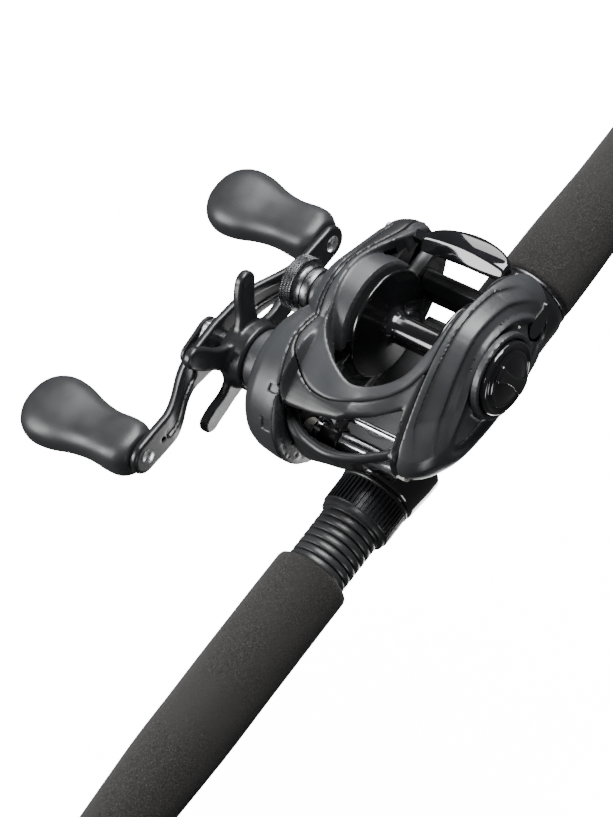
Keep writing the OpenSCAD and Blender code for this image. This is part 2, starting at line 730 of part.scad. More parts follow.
module line_guide() color([0.06, 0.06, 0.065]) reel() translate([0, guide_y, 0]) {
    difference() {
        union() {
            ycyl(4.3, -3.4, 3.4, worm_x, worm_z);
            ycyl(2.3, -3.4, 3.4, guide_rod_pos[0], guide_rod_pos[1]);
            yplate(-3.4, 3.4) polygon([[30.5, 26.3], [worm_x - 3, worm_z - 1], [worm_x + 3, worm_z + 1],
                [38.4, 29], [37.4, 33], [35.6, 34], [33.4, 33.6], [30.5, 30.8]]);
            translate([worm_x, 0, worm_z - 6.2]) cylinder(r = 1.9, h = 4);
        }
        ycyl(3.1 + loose, -5, 5, worm_x, worm_z);
        ycyl(guide_rod_r + fit, -5, 5, guide_rod_pos[0], guide_rod_pos[1]);
        xcyl(2.4, 25, 45, 0, 30.8);
    }
}

module line_guide_eye() color([0.8, 0.8, 0.82]) reel() translate([0, guide_y, 0]) {
    translate([0, 0, 30.8]) x_turned([[1.9, 33], [2.4, 32.6], [2.4, 38], [1.9, 37.6]]);
}

// Screw-in cap under the carriage that holds the pawl up into the worm.
module pawl_cap() color([0.1, 0.1, 0.11]) reel() translate([0, guide_y, 0]) {
    translate([worm_x, 0, worm_z - 6.7]) cylinder(r = 1.5, h = 0.5);
}

// ---- handle -------------------------------------------------------------

module star_drag() color([0.08, 0.08, 0.085]) reel() {
    difference() {
        union() {
            y_turned([[0, -45.2], [10.3, -45.2], [10.6, -45.8], [10.6, -52], [9.6, -55],
                      [7, -56], [0, -56]], drive_x, drive_z);
            for (k = [0:4]) let (t = 112 + k * 72)
                yplate(-54.6, -51.8) belt([drive_x + 7 * cos(t), drive_z + 7 * sin(t), 4],
                    [drive_x + 24.6 * cos(t), drive_z + 24.6 * sin(t), 2.4]);
        }
        ycyl(drive_shaft_r + fit, -60, -40, drive_x, drive_z);
    }
}

module handle_arm() color([0.1, 0.1, 0.105]) reel() on_handle() {
    half = handle_span / 2;
    e = arm_end_y;
    m = arm_end_y - arm_bow;
    difference() {
        intersection() {
            // Bowed strip seen from above.
            translate([0, 0, -10]) linear_extrude(20) polygon([
                [-half - 6, e], [-34, e], [-14, m], [14, m], [34, e], [half + 6, e],
                [half + 6, e - arm_t], [34.6, e - arm_t], [14.6, m - arm_t],
                [-14.6, m - arm_t], [-34.6, e - arm_t], [-half - 6, e - arm_t]]);
            yplate(-70, -45) {
                belt([0, 0, 7.6], [half, 0, 5.6]);
                belt([0, 0, 7.6], [-half, 0, 5.6]);
            }
        }
        ycyl(drive_shaft_r, -70, -50);
        for (s = [-1, 1]) ycyl(2, -60, -50, s * half, 0);
    }
}

module handle_nut() color([0.6, 0.61, 0.63]) reel() on_handle() {
    difference() {
        translate([0, -66.3, 0]) rotate([-90, 0, 0]) cylinder(r = 5.2, h = 3.3, $fn = 6);
        ycyl(drive_shaft_r, -70, -60);
    }
}

module nut_retainer() color([0.1, 0.1, 0.105]) reel() on_handle() {
    yplate(-67.6, -66.5) belt([0, 0, 5], [9, 0, 3.2]);
    ycyl(1.6, -66.6, -63, 9, 0);
}

// Posts that the knobs turn on, riveted into the arm.
module knob_spindles() color([0.78, 0.79, 0.8]) reel() on_handle() {
    for (s = [-1, 1]) {
        ycyl(2, -93, arm_end_y, s * handle_span / 2, 0);
        ycyl(2.8, arm_end_y, arm_end_y + 0.7, s * handle_span / 2, 0);
    }
}

// Paddle knob: stadium sections joined by hulls; each is [station, half width, radius].
module knob_section(q) {
    for (s = [-1, 1]) ycyl(q[2], q[0], q[0] + 0.2, s * (q[1] - q[2]), 0, $fn = 32);
}
module knob(side) {
    sections = [[-56.2, 6.6, 6.4], [-60, 8.6, 6.8], [-71, 8.4, 6], [-88, 11.8, 7],
                [-95.5, 9.6, 5.4], [-98.4, 5.6, 3]];
    translate([side * handle_span / 2, 0, 0]) difference() {
        union() for (i = [0:4]) hull() {
            knob_section(sections[i]);
            knob_section(sections[i + 1]);
        }
        ycyl(2 + fit, -93.2, -50);
    }
}
module knob_rear() color([0.13, 0.13, 0.135]) reel() on_handle() knob(-1);
module knob_front() color([0.13, 0.13, 0.135]) reel() on_handle() knob(1);

module tension_cap() color([0.1, 0.1, 0.1]) reel() {
    difference() {
        union() {
            translate([axis_x, 0, axis_z]) yplate(-48, -43.4) serrated2d(8.8, 60, 0.35);
            y_turned([[0, -48.5], [7.2, -48.5], [8, -48], [8, -43.2], [7.3, -42.6],
                      [7.3, -38.4], [0, -38.4]], axis_x, axis_z);
        }
        ycyl(6.2 + loose, -44.6, -37, axis_x, axis_z);
    }
}

module tension_shims() color([0.8, 0.68, 0.4]) reel() {
    ycyl(4.2, -44.6, -43.8, axis_x, axis_z);
    ycyl(3.6, -43.8, -43.1, axis_x, axis_z);
}

rod_blank();
butt_cap();
rear_grip();
seat_end_ring();
reel_seat();
sliding_hood();
lock_nut();
fore_grip();
winding_check();
guide_frames();
guide_rings();
guide_wraps();
tip_top();
tip_ring();
reel_frame();
reel_foot();
foot_screws();
top_cover();
gear_side_cover();
cover_screws();
palm_side_plate();
palm_bearing_plate();
plate_lock_lever();
brake_dial();
magnet_carrier();
brake_magnets();
spool();
spool_shaft();
shaft_pin();
gear_side_bearings();
palm_bearing();
pinion();
pinion_yoke();
yoke_springs();
clutch_cam();
thumb_bar();
main_gear();
drive_shaft();
drag_washers();
clutch_sleeve();
roller_clutch();
ratchet_wheel();
drive_cog();
worm_cog();
worm_shaft();
worm_guard();
worm_bushings();
guide_rod();
line_guide();
line_guide_eye();
pawl_cap();
star_drag();
handle_arm();
handle_nut();
nut_retainer();
knob_spindles();
knob_rear();
knob_front();
tension_cap();
tension_shims();
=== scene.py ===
"""Casting rod and low-profile baitcasting reel: the looks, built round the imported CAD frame.

Lengths are millimetres in the reel's own frame (x towards the tip from the spool axis, y to the
angler's left, z up from the rod's axis) until piece() turns them into metres in the row's frame.
"""
import json
import math

import bpy
import numpy as np
from mathutils import Matrix, Vector


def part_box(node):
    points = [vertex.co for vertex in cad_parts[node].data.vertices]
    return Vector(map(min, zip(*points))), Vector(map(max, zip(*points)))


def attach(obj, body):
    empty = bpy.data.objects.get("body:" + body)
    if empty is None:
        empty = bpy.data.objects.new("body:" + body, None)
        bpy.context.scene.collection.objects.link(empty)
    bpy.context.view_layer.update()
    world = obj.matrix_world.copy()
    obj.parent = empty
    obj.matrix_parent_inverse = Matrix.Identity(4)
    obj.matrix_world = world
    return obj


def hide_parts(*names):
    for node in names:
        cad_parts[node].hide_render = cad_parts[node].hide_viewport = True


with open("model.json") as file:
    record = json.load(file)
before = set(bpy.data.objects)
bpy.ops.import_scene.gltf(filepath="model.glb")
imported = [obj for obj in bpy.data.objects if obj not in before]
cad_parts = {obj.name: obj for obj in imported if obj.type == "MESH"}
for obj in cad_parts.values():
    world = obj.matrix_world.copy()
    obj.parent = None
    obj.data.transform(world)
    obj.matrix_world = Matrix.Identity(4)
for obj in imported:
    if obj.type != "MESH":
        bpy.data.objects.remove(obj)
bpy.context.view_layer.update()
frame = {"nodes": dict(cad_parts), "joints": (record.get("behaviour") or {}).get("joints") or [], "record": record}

MM = 0.001
JOINTS = {j["name"]: j for j in frame["joints"]}


def joint_xz(name):
    """Where a joint's axis crosses the plane y = 0, in the reel's frame."""
    x, _, z = JOINTS[name]["pos_m"]
    return (x / MM - REEL_X, z / MM)


def node_box(name):
    """A CAD node's box in millimetres, in the reel's frame along x."""
    low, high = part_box(name)
    shift = np.array([REEL_X, 0, 0])
    return np.array(low) / MM - shift, np.array(high) / MM - shift


REEL_X = 290.0
SPOOL = joint_xz("spool_spin")
DRIVE = joint_xz("handle_turn")
WORM = joint_xz("worm_spin")
KNOBS = [joint_xz("knob_rear_spin"), joint_xz("knob_front_spin")]
SEAT_FRONT = node_box("reel_seat")[1][0]
NUT_START = node_box("lock_nut")[0][0]
HOOD_START, HOOD_END = (float(corner[0]) for corner in node_box("sliding_hood"))
GRIP_END = node_box("fore_grip")[1][0]
SEAT_BACK = node_box("reel_seat")[0][0]
WALL_IN = 15.2
VOXEL = 0.5
SHARP_ANGLE = math.radians(38)

# ---- meshes ----


def piece(name, shape, slot, body, *stands_for, look=None):
    """Makes an object from reel-frame millimetres, in its slot's look or another, on its body."""
    verts, faces = shape
    points = (np.asarray(verts, float) + np.array([REEL_X, 0, 0])) * MM
    mesh = bpy.data.meshes.new(name)
    mesh.from_pydata(points.tolist(), [], [tuple(map(int, f)) for f in faces])
    mesh.validate()
    mesh.update()
    made = bpy.data.objects.new(name, mesh)
    bpy.context.collection.objects.link(made)
    mesh.materials.append(look or LOOKS[slot])
    for polygon in mesh.polygons:
        polygon.use_smooth = True
    mesh.set_sharp_from_angle(angle=SHARP_ANGLE)
    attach(made, body)
    if stands_for:
        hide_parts(*stands_for)


def join_parts(parts):
    """Joins (verts, faces) pairs into one pair."""
    verts, faces, start = [], [], 0
    for v, f in parts:
        verts.append(np.asarray(v, float))
        faces += [tuple(i + start for i in face) for face in f]
        start += len(v)
    return np.vstack(verts), faces


def rings_mesh(rings, through=False):
    """Skins equal closed rings with quads; caps both ends, or joins the last ring to the first."""
    count = len(rings[0])
    total = len(rings)
    faces = []
    for i in range(total if through else total - 1):
        a, b = i * count, (i + 1) % total * count
        for j in range(count):
            k = (j + 1) % count
            faces.append((a + j, a + k, b + k, b + j))
    if not through:
        faces.append(tuple(range(count - 1, -1, -1)))
        last = (total - 1) * count
        faces.append(tuple(range(last, last + count)))
    return np.vstack(rings), faces


def turned(profile, axis="x", at=(0, 0), segments=96, ripple=None, through=False):
    """Turns (station, radius) points about a line; ripple adds to r, and through leaves a bore."""
    angles = np.linspace(0, 2 * np.pi, segments, endpoint=False)
    rings = []
    for station, radius in profile:
        r = np.full(segments, max(radius, 0.02))
        if ripple is not None:
            r = r + ripple(station, angles, radius)
        if axis == "x":
            ring = np.stack([np.full(segments, station), at[0] + r * np.cos(angles),
                    at[1] + r * np.sin(angles)], 1)
        else:
            ring = np.stack([at[0] + r * np.sin(angles), np.full(segments, station),
                    at[1] + r * np.cos(angles)], 1)
        rings.append(ring)
    return rings_mesh(rings, through)


def loop_mesh(profile, axis, at, segments=64):
    """Turns a closed (station, radius) section into a ring with a hole through it."""
    angles = np.linspace(0, 2 * np.pi, segments, endpoint=False)
    count = len(profile)
    verts, faces = [], []
    for angle in angles:
        for station, r in profile:
            if axis == "x":
                verts.append((station, at[0] + r * math.cos(angle), at[1] + r * math.sin(angle)))
            else:
                verts.append((at[0] + r * math.sin(angle), station, at[1] + r * math.cos(angle)))
    for i in range(segments):
        a, b = i * count, ((i + 1) % segments) * count
        for j in range(count):
            k = (j + 1) % count
            faces.append((a + j, b + j, b + k, a + k))
    return np.array(verts), faces


def rounded(profile, reach=0.5, steps=3):
    """Rounds the inner corners of an open (station, radius) profile."""
    out = [profile[0]]
    for i in range(1, len(profile) - 1):
        p0, p1, p2 = (np.array(profile[j], float) for j in (i - 1, i, i + 1))
        a, b = p0 - p1, p2 - p1
        la, lb = np.linalg.norm(a), np.linalg.norm(b)
        t = min(reach, la * 0.45, lb * 0.45)
        start, end = p1 + a / la * t, p1 + b / lb * t
        for k in range(steps + 1):
            s = k / steps
            out.append(tuple((1 - s) ** 2 * start + 2 * s * (1 - s) * p1 + s * s * end))
    out.append(profile[-1])
    return out


def sweep(path, radius, sides=10):
    """Tube along a path of points; radius is a number or one per point."""
    points = np.asarray(path, float)
    radii = np.broadcast_to(np.asarray(radius, float), (len(points),))
    rings = []
    up = np.array([0.0, 0.0, 1.0])
    for i, point in enumerate(points):
        ahead = points[min(i + 1, len(points) - 1)] - points[max(i - 1, 0)]
        ahead = ahead / np.linalg.norm(ahead)
        if i == 0 and abs(ahead @ up) > 0.9:
            up = np.array([1.0, 0.0, 0.0])
        side = np.cross(ahead, up)
        side = side / np.linalg.norm(side)
        up = np.cross(side, ahead)
        t = np.linspace(0, 2 * np.pi, sides, endpoint=False)
        rings.append(point + radii[i] * (np.cos(t)[:, None] * side + np.sin(t)[:, None] * up))
    return rings_mesh(rings)


def smooth_curve(points, steps=8, closed=False):
    """Catmull-Rom curve through points."""
    p = np.asarray(points, float)
    n = len(p)
    spans = n if closed else n - 1
    out = []
    for i in range(spans):
        if closed:
            a, b, c, d = (p[(i + k) % n] for k in (-1, 0, 1, 2))
        else:
            a, b, c, d = p[max(i - 1, 0)], p[i], p[i + 1], p[min(i + 2, n - 1)]
        for s in np.linspace(0, 1, steps, endpoint=False):
            out.append(0.5 * (2 * b + (c - a) * s + (2 * a - 5 * b + 4 * c - d) * s ** 2
                    + (3 * b - a - 3 * c + d) * s ** 3))
    if not closed:
        out.append(p[-1])
    return np.array(out)


def outline(points, steps=5):
    """Closed smooth curve through points."""
    return smooth_curve(points, steps, closed=True)


# ---- solids from distance fields ----


def smax(a, b, k=0.6):
    """Rounded intersection."""
    h = np.clip(0.5 - 0.5 * (b - a) / k, 0, 1)
    return b + (a - b) * h + k * h * (1 - h)


def smin(a, b, k=0.6):
    """Rounded union."""
    return -smax(-a, -b, k)


def inside_of(u, v, outline):
    """Signed distance to a closed outline in two coordinates; negative inside."""
    best = np.full(np.broadcast(u, v).shape, 1e9)
    odd = np.zeros(best.shape, bool)
    for (u0, v0), (u1, v1) in zip(outline, np.roll(outline, -1, axis=0)):
        du, dv = u1 - u0, v1 - v0
        t = np.clip(((u - u0) * du + (v - v0) * dv) / (du * du + dv * dv + 1e-12), 0, 1)
        best = np.minimum(best, (u - u0 - t * du) ** 2 + (v - v0 - t * dv) ** 2)
        if abs(dv) > 1e-9:
            crosses = ((v0 > v) != (v1 > v)) & (u < u0 + (v - v0) * du / dv)
            odd = odd ^ crosses
    distance = np.sqrt(best)
    return np.where(odd, -distance, distance)


def off_axis(x, z, axis):
    """Distance from an axis that runs along y."""
    return np.sqrt((x - axis[0]) ** 2 + (z - axis[1]) ** 2)


def belt(u, v, a, b):
    """Signed distance to two circles joined by their tangents; a and b are (u, v, radius)."""
    du, dv = b[0] - a[0], b[1] - a[1]
    length = math.hypot(du, dv)
    du, dv = du / length, dv / length
    along = (u - a[0]) * du + (v - a[1]) * dv
    across = np.abs((v - a[1]) * du - (u - a[0]) * dv)
    slope = (a[2] - b[2]) / length
    rise = math.sqrt(1 - slope * slope)
    shifted = along * rise - across * slope
    end_a = np.sqrt(along ** 2 + across ** 2) - a[2]
    end_b = np.sqrt((along - length) ** 2 + across ** 2) - b[2]
    side = across * rise + along * slope - a[2]
    return np.where(shifted < 0, end_a, np.where(shifted > length * rise, end_b, side))


def solid_from(field, low, high, step=VOXEL):
    """Meshes the surface field(x, y, z) = 0 inside a box with quads, then settles them on it."""
    axes = [np.arange(low[i], high[i] + step, step) for i in range(3)]
    gx, gy, gz = axes[0][:, None, None], axes[1][None, :, None], axes[2][None, None, :]
    values = np.broadcast_to(field(gx, gy, gz), [len(a) for a in axes]).astype(float)
    inner = values < 0
    cells = tuple(n - 1 for n in values.shape)
    total = np.zeros(cells + (3,))
    count = np.zeros(cells)
    crossings = []
    for axis in range(3):
        first, second = [slice(None)] * 3, [slice(None)] * 3
        first[axis], second[axis] = slice(0, -1), slice(1, None)
        fa, fb = values[tuple(first)], values[tuple(second)]
        cross = inner[tuple(first)] != inner[tuple(second)]
        t = np.where(cross, fa / np.where(cross, fa - fb, 1), 0)
        crossings.append((cross, inner[tuple(first)]))
        u, v = [i for i in range(3) if i != axis]
        for du in (0, 1):
            for dv in (0, 1):
                part = [slice(None)] * 3
                part[u] = slice(du, values.shape[u] - 1 + du)
                part[v] = slice(dv, values.shape[v] - 1 + dv)
                c = cross[tuple(part)]
                count += c
                total[..., axis] += np.where(c, t[tuple(part)], 0)
                total[..., u] += c * du
                total[..., v] += c * dv
    active = count > 0
    index = np.full(cells, -1)
    index[active] = np.arange(active.sum())
    corner = np.argwhere(active)
    verts = np.array(low) + step * (corner + total[active] / count[active][:, None])
    faces = []
    for axis, (cross, starts_inside) in enumerate(crossings):
        u, v = [(1, 2), (2, 0), (0, 1)][axis]
        where = np.argwhere(cross)
        keep = np.ones(len(where), bool)
        for w in (u, v):
            keep &= (where[:, w] > 0) & (where[:, w] < values.shape[w] - 1)
        where = where[keep]
        if not len(where):
            continue
        quad = []
        for du, dv in ((1, 1), (0, 1), (0, 0), (1, 0)):
            cell = where.copy()
            cell[:, u] -= du
            cell[:, v] -= dv
            quad.append(index[tuple(cell.T)])
        quad = np.stack(quad, 1)
        flip = ~starts_inside[tuple(where.T)]
        quad[flip] = quad[flip][:, ::-1]
        faces.append(quad)
    faces = np.vstack(faces)
    reach = step * 0.4
    h = step * 0.05
    for _ in range(3):
        x, y, z = verts.T
        f0 = field(x, y, z)
        grad = np.stack([field(x + h, y, z) - f0, field(x, y + h, z) - f0,
                field(x, y, z + h) - f0], 1) / h
        size = np.maximum((grad ** 2).sum(1), 0.05)
        move = -(f0 / size)[:, None] * grad
        far = np.linalg.norm(move, axis=1)
        move *= np.minimum(1, reach / np.maximum(far, 1e-9))[:, None]
        verts = verts + move * 0.8
    return verts, faces.tolist()


# ---- materials ----


class Surface:
    """A node-built material; each method adds one kind of detail to it."""

    def __init__(self, name, color, rough, metal=0.0, coat=0.0, specular=0.5):
        self.material = bpy.data.materials.new(name)
        self.material.use_nodes = True
        tree = self.material.node_tree
        self.nodes, self.links = tree.nodes, tree.links
        self.shader = self.nodes["Principled BSDF"]
        self.color = color
        self.shader.inputs["Base Color"].default_value = (*color, 1)
        self.shader.inputs["Roughness"].default_value = rough
        self.shader.inputs["Metallic"].default_value = metal
        self.shader.inputs["Coat Weight"].default_value = coat
        self.shader.inputs["Coat Roughness"].default_value = 0.05
        self.shader.inputs["Specular IOR Level"].default_value = specular
        self.rough = rough
        self.place = self.nodes.new("ShaderNodeTexCoord")
        self.normal = None

    def noise(self, scale, detail=4.0, stretch=None):
        """A noise texture in object space; scale is in features a metre."""
        texture = self.nodes.new("ShaderNodeTexNoise")
        texture.inputs["Scale"].default_value = scale
        texture.inputs["Detail"].default_value = detail
        source = self.place.outputs["Object"]
        if stretch:
            mapping = self.nodes.new("ShaderNodeMapping")
            mapping.inputs["Scale"].default_value = stretch
            self.links.new(source, mapping.inputs["Vector"])
            source = mapping.outputs["Vector"]
        self.links.new(source, texture.inputs["Vector"])
        return texture.outputs["Fac"]

    def cells(self, scale):
        """Small cells in object space, as in foam."""
        texture = self.nodes.new("ShaderNodeTexVoronoi")
        texture.inputs["Scale"].default_value = scale
        self.links.new(self.place.outputs["Object"], texture.inputs["Vector"])
        return texture.outputs["Distance"]

    def remap(self, source, low, high, to_low, to_high):
        node = self.nodes.new("ShaderNodeMapRange")
        for name, value in (("From Min", low), ("From Max", high), ("To Min", to_low),
                ("To Max", to_high)):
            node.inputs[name].default_value = value
        self.links.new(source, node.inputs["Value"])
        return node.outputs["Result"]

    def shade(self, source, other, low=0.35, high=0.65):
        """Mixes the base colour towards another where the source is high."""
        mix = self.nodes.new("ShaderNodeMix")
        mix.data_type = "RGBA"
        mix.inputs["A"].default_value = (*self.color, 1)
        mix.inputs["B"].default_value = (*other, 1)
        before = self.shader.inputs["Base Color"].links
        if before:
            self.links.new(before[0].from_socket, mix.inputs["A"])
        self.links.new(self.remap(source, low, high, 0, 1), mix.inputs["Factor"])
        self.links.new(mix.outputs["Result"], self.shader.inputs["Base Color"])
        return self

    def vary_rough(self, source, spread):
        out = self.remap(source, 0.3, 0.7, self.rough - spread, self.rough + spread)
        self.links.new(out, self.shader.inputs["Roughness"])
        return self

    def bump(self, source, height):
        """Adds a bump of the given height in metres."""
        node = self.nodes.new("ShaderNodeBump")
        node.inputs["Strength"].default_value = 1.0
        node.inputs["Distance"].default_value = height
        self.links.new(source, node.inputs["Height"])
        if self.normal:
            self.links.new(self.normal, node.inputs["Normal"])
        self.normal = node.outputs["Normal"]
        self.links.new(self.normal, self.shader.inputs["Normal"])
        return self


def foam():
    s = Surface("eva_foam", (0.0145, 0.0138, 0.0131), 0.92, specular=0.18)
    grain = s.noise(2600, 5)
    s.shade(grain, (0.040, 0.038, 0.036), 0.50, 0.66)
    s.shade(s.cells(2200), (0.008, 0.0076, 0.0072), 0.50, 0.80)
    s.shade(s.noise(45, 3), (0.018, 0.017, 0.016), 0.45, 0.7)
    s.bump(grain, 0.00010).bump(s.cells(2400), 0.00006)
    s.shader.inputs["Sheen Weight"].default_value = 0.05
    s.shader.inputs["Sheen Roughness"].default_value = 0.6
    return s.material


def satin_plastic(name, color, rough, grain=0.000010):
    s = Surface(name, color, rough)
    fine = s.noise(5200, 3)
    s.vary_rough(s.noise(160, 5), 0.05)
    s.shade(s.noise(60, 4), tuple(c * 1.18 for c in color), 0.4, 0.7)
    s.bump(fine, grain)
    return s.material


def gloss_plastic(name, color, rough=0.07):
    s = Surface(name, color, rough, coat=0.6)
    s.shade(s.noise(90, 3), tuple(c * 1.6 for c in color), 0.45, 0.75)
    s.vary_rough(s.noise(300, 5), 0.025)
    s.bump(s.noise(90, 1), 0.000003)
    return s.material


def rubber(name, color, rough=0.55):
    s = Surface(name, color, rough, specular=0.45)
    s.vary_rough(s.noise(220, 5), 0.06)
    s.shade(s.noise(70, 4), tuple(c * 1.35 for c in color), 0.4, 0.7)
    s.bump(s.noise(3800, 3), 0.000012)
    return s.material


def metal(name, color, rough, stretch=None, brush=0.000004):
    s = Surface(name, color, rough, metal=1.0)
    lines = s.noise(900, 4, stretch)
    s.vary_rough(lines, rough * 0.35)
    s.shade(s.noise(120, 4), tuple(c * 0.82 for c in color), 0.5, 0.8)
    s.bump(lines, brush)
    return s.material


def carbon():
    s = Surface("carbon_blank", (0.012, 0.012, 0.014), 0.22, coat=0.9)
    s.shade(s.noise(700, 2, (0.15, 1, 1)), (0.028, 0.028, 0.031), 0.45, 0.6)
    s.vary_rough(s.noise(500, 3), 0.03)
    s.bump(s.noise(500, 2, (0.3, 1, 1)), 0.000006)
    return s.material


def thread():
    s = Surface("wrap_thread", (0.016, 0.016, 0.022), 0.16, coat=1.0)
    wave = s.nodes.new("ShaderNodeTexWave")
    wave.bands_direction = "X"
    wave.inputs["Scale"].default_value = 1100
    s.links.new(s.place.outputs["Object"], wave.inputs["Vector"])
    s.shade(wave.outputs["Fac"], (0.035, 0.035, 0.045), 0.3, 0.9)
    s.bump(wave.outputs["Fac"], 0.00003)
    return s.material


def fibre():
    s = Surface("drag_fibre", (0.05, 0.045, 0.035), 0.85)
    s.shade(s.noise(1800, 3, (1, 0.2, 1)), (0.09, 0.08, 0.06), 0.4, 0.6)
    s.bump(s.noise(1500, 3), 0.00005)
    return s.material


LOOKS = {
    "blank_carbon": carbon(),
    "foam_grip": foam(),
    "butt_rubber": rubber("butt_rubber_look", (0.014, 0.014, 0.014), 0.7),
    "seat_gloss": gloss_plastic("seat_gloss_look", (0.007, 0.007, 0.008), 0.10),
    "trim_ring": metal("trim_ring_look", (0.10, 0.10, 0.108), 0.34),
    "guide_steel": metal("guide_steel_look", (0.16, 0.16, 0.175), 0.24),
    "guide_ceramic": gloss_plastic("guide_ceramic_look", (0.02, 0.02, 0.024), 0.06),
    "thread_wrap": thread(),
    "frame_graphite": satin_plastic("frame_look", (0.012, 0.0125, 0.0135), 0.38),
    "shell_satin": satin_plastic("shell_look", (0.0265, 0.0282, 0.0305), 0.38),
    "inner_plastic": satin_plastic("inner_look", (0.008, 0.008, 0.009), 0.42),
    "gloss_black": gloss_plastic("gloss_black_look", (0.005, 0.005, 0.006), 0.06),
    "spool_alloy": gloss_plastic("spool_look", (0.004, 0.004, 0.0045), 0.16),
    "bright_steel": metal("bright_steel_look", (0.62, 0.63, 0.65), 0.20),
    "chrome_nut": metal("chrome_look", (0.85, 0.86, 0.88), 0.30),
    "brass_gear": metal("brass_look", (0.60, 0.43, 0.17), 0.28),
    "cog_plastic": satin_plastic("cog_look", (0.55, 0.54, 0.50), 0.5),
    "drag_fibre": fibre(),
    "magnet": metal("magnet_look", (0.62, 0.62, 0.63), 0.25),
    "handle_alloy": satin_plastic("handle_look", (0.009, 0.0095, 0.0105), 0.32, 0.000006),
    "knob_grip": rubber("knob_look", (0.0195, 0.0205, 0.0220), 0.42),
}
RIBBED = satin_plastic("ribbed_look", (0.022, 0.0226, 0.0238), 0.38, 0.000003)
KNURLED = metal("knurled_look", (0.14, 0.143, 0.150), 0.34)
for part in frame["record"]["subparts"]:
    node = frame["nodes"][part["node"]]
    node.data.materials.clear()
    node.data.materials.append(LOOKS[part["material_slot"]])


# ---- shells of the reel ----

CROWN = (SPOOL[0], SPOOL[1], 20.0)
STERN = (-22.0, 33.0, 12.0)
HOUSING_R = 24.3

# Outline of the palm side, and the inner ridge round its dial.
PALM = outline([
    (-31, 24), (-33, 33), (-29, 41), (-18, 49), (-4, 53), (6, 52), (18, 47), (30, 39), (37, 32),
    (39.2, 26), (35.6, 19.8), (28.4, 15.6), (16, 12), (0, 10.4), (-14, 12), (-25, 17)])
RIDGE = outline([
    (-20.5, 25), (-19.5, 35), (-11, 43), (0, 44.8), (9, 40), (16, 34), (25, 27), (22, 20), (8, 17.5),
    (-8, 18), (-17, 20)])
MIDDLE = outline([
    (-31, 22), (-33.5, 31), (-30, 40), (-20, 46), (-6, 50), (8, 49.5), (19, 45.5), (27, 43.6),
    (36, 42.2), (41, 38.5), (46, 33), (45.8, 27.6), (42.8, 21.6), (36.6, 15.4), (20, 12.4), (0, 12),
    (-14, 12.6), (-25, 16)])
BOW = outline([
    (-32, 24), (-34, 33), (-30, 41), (-20, 47), (-8, 52), (2, 53), (12, 51), (20, 48.2), (29, 45.2),
    (37, 41.5), (42.5, 37), (46.2, 30), (46.4, 24), (42.5, 17), (34, 13.4), (20, 11.6), (0, 10.6),
    (-14, 12), (-25, 17)])

# Lip of the spool opening, and the parting line of the top cover, seen from above as (x, y).
LIP = outline([
    (-46, -17), (-25, -18.4), (-15, -21.6), (-5, -23), (9, -21.4), (19.5, -17), (26.5, -7), (26.5, 0),
    (19.5, 9.6), (10, 14), (0, 15.6), (-12, 16.2), (-22, 15.6), (-46, 15.2)], 4)
PARTING = outline([
    (-46, -21), (-25, -21.6), (-11, -24.4), (2, -25.2), (15, -24.6), (23, -24.4), (29, -21.6),
    (33.5, -15.5), (34.5, -8), (32.4, -1), (28.4, 5), (24, 10.4), (18, 15), (4, 19.5), (-46, 19.5)], 4)

# Outer edge of the rim round the line window, seen from above as (x, y).
BOW_PLAN = outline([
    (-60, -34), (20, -31), (33, -27.6), (40, -22.4), (43.8, -17.8), (45.8, -12), (46.8, -3), (44.6, 6),
    (41.2, 12), (39.6, 17), (39.4, 30), (-60, 40)])
RIM = outline([
    (-60, -31), (20, -28), (33, -24.8), (39.2, -19.6), (42.4, -15), (44.2, -10.6), (45.2, -3), (43, 5),
    (39.6, 10.6), (36, 14.4), (28, 17), (-60, 18)])

FRONT_EDGE = ([-22, -20, -10, -2, 8, 16], [40.5, 40, 39.4, 38, 32, 25])
UNDERSIDE = ([-22, -10, 0, 14], [37.6, 38.6, 39.2, 40.2])
PALM_SEAM = 16.7

# Radii about the spool axis: the opening's ramp, the room in the body and the hole in its walls.
RAMP_R = 18.4
SPOOL_ROOM_R = 18.0
SPOOL_HOLE_R = 17.8


def hull(x, y, z):
    """The reel's outer body between its two sides, from outlines blended along y."""
    gear = smin(belt(x, z, CROWN, STERN), off_axis(x, z, DRIVE) - HOUSING_R, 5.0)
    stations = [(-21.6, gear), (-20.2, inside_of(x, z, BOW)), (-13, inside_of(x, z, BOW) + 0.2),
            (0, inside_of(x, z, MIDDLE)), (17, inside_of(x, z, PALM))]
    value = stations[0][1] + 0 * y
    for (y0, f0), (y1, f1) in zip(stations, stations[1:]):
        t = np.clip((y - y0) / (y1 - y0), 0, 1)
        value = np.where(y > y0, f0 + (f1 - f0) * t, value)
    return value


def palm_face(x, z):
    """How far out the palm side stands: rim, groove, light band, ridge, then the dial's dish."""
    rim = np.maximum(-inside_of(x, z, PALM), 0)
    ridge = inside_of(x, z, RIDGE)
    w = rim / np.maximum(rim + np.maximum(ridge, 0), 1e-6)
    band = np.interp(w, [0, 0.06, 0.13, 0.18, 0.24, 0.44, 0.50, 0.58, 0.84, 0.93, 1.0],
            [16.4, 17.8, 18.9, 18.3, 18.9, 22.9, 23.3, 23.0, 24.6, 26.3, 26.4])
    plain = 16.4 + 9.9 * np.sqrt(np.clip(1 - (1 - w) ** 2.2, 0, 1))
    top = np.clip((z - 22 - 0.25 * x) / 9, 0, 1) * np.clip((x + 25) / 9, 0, 1)
    side = plain + (band - plain) * top
    d = np.maximum(-ridge, 0)
    dish = 26.4 - 0.9 * np.clip(d / 1.6, 0, 1) + 3.3 * np.clip((d - 1.6) / 8, 0, 1) ** 1.1
    return np.where(ridge > 0, side, dish)


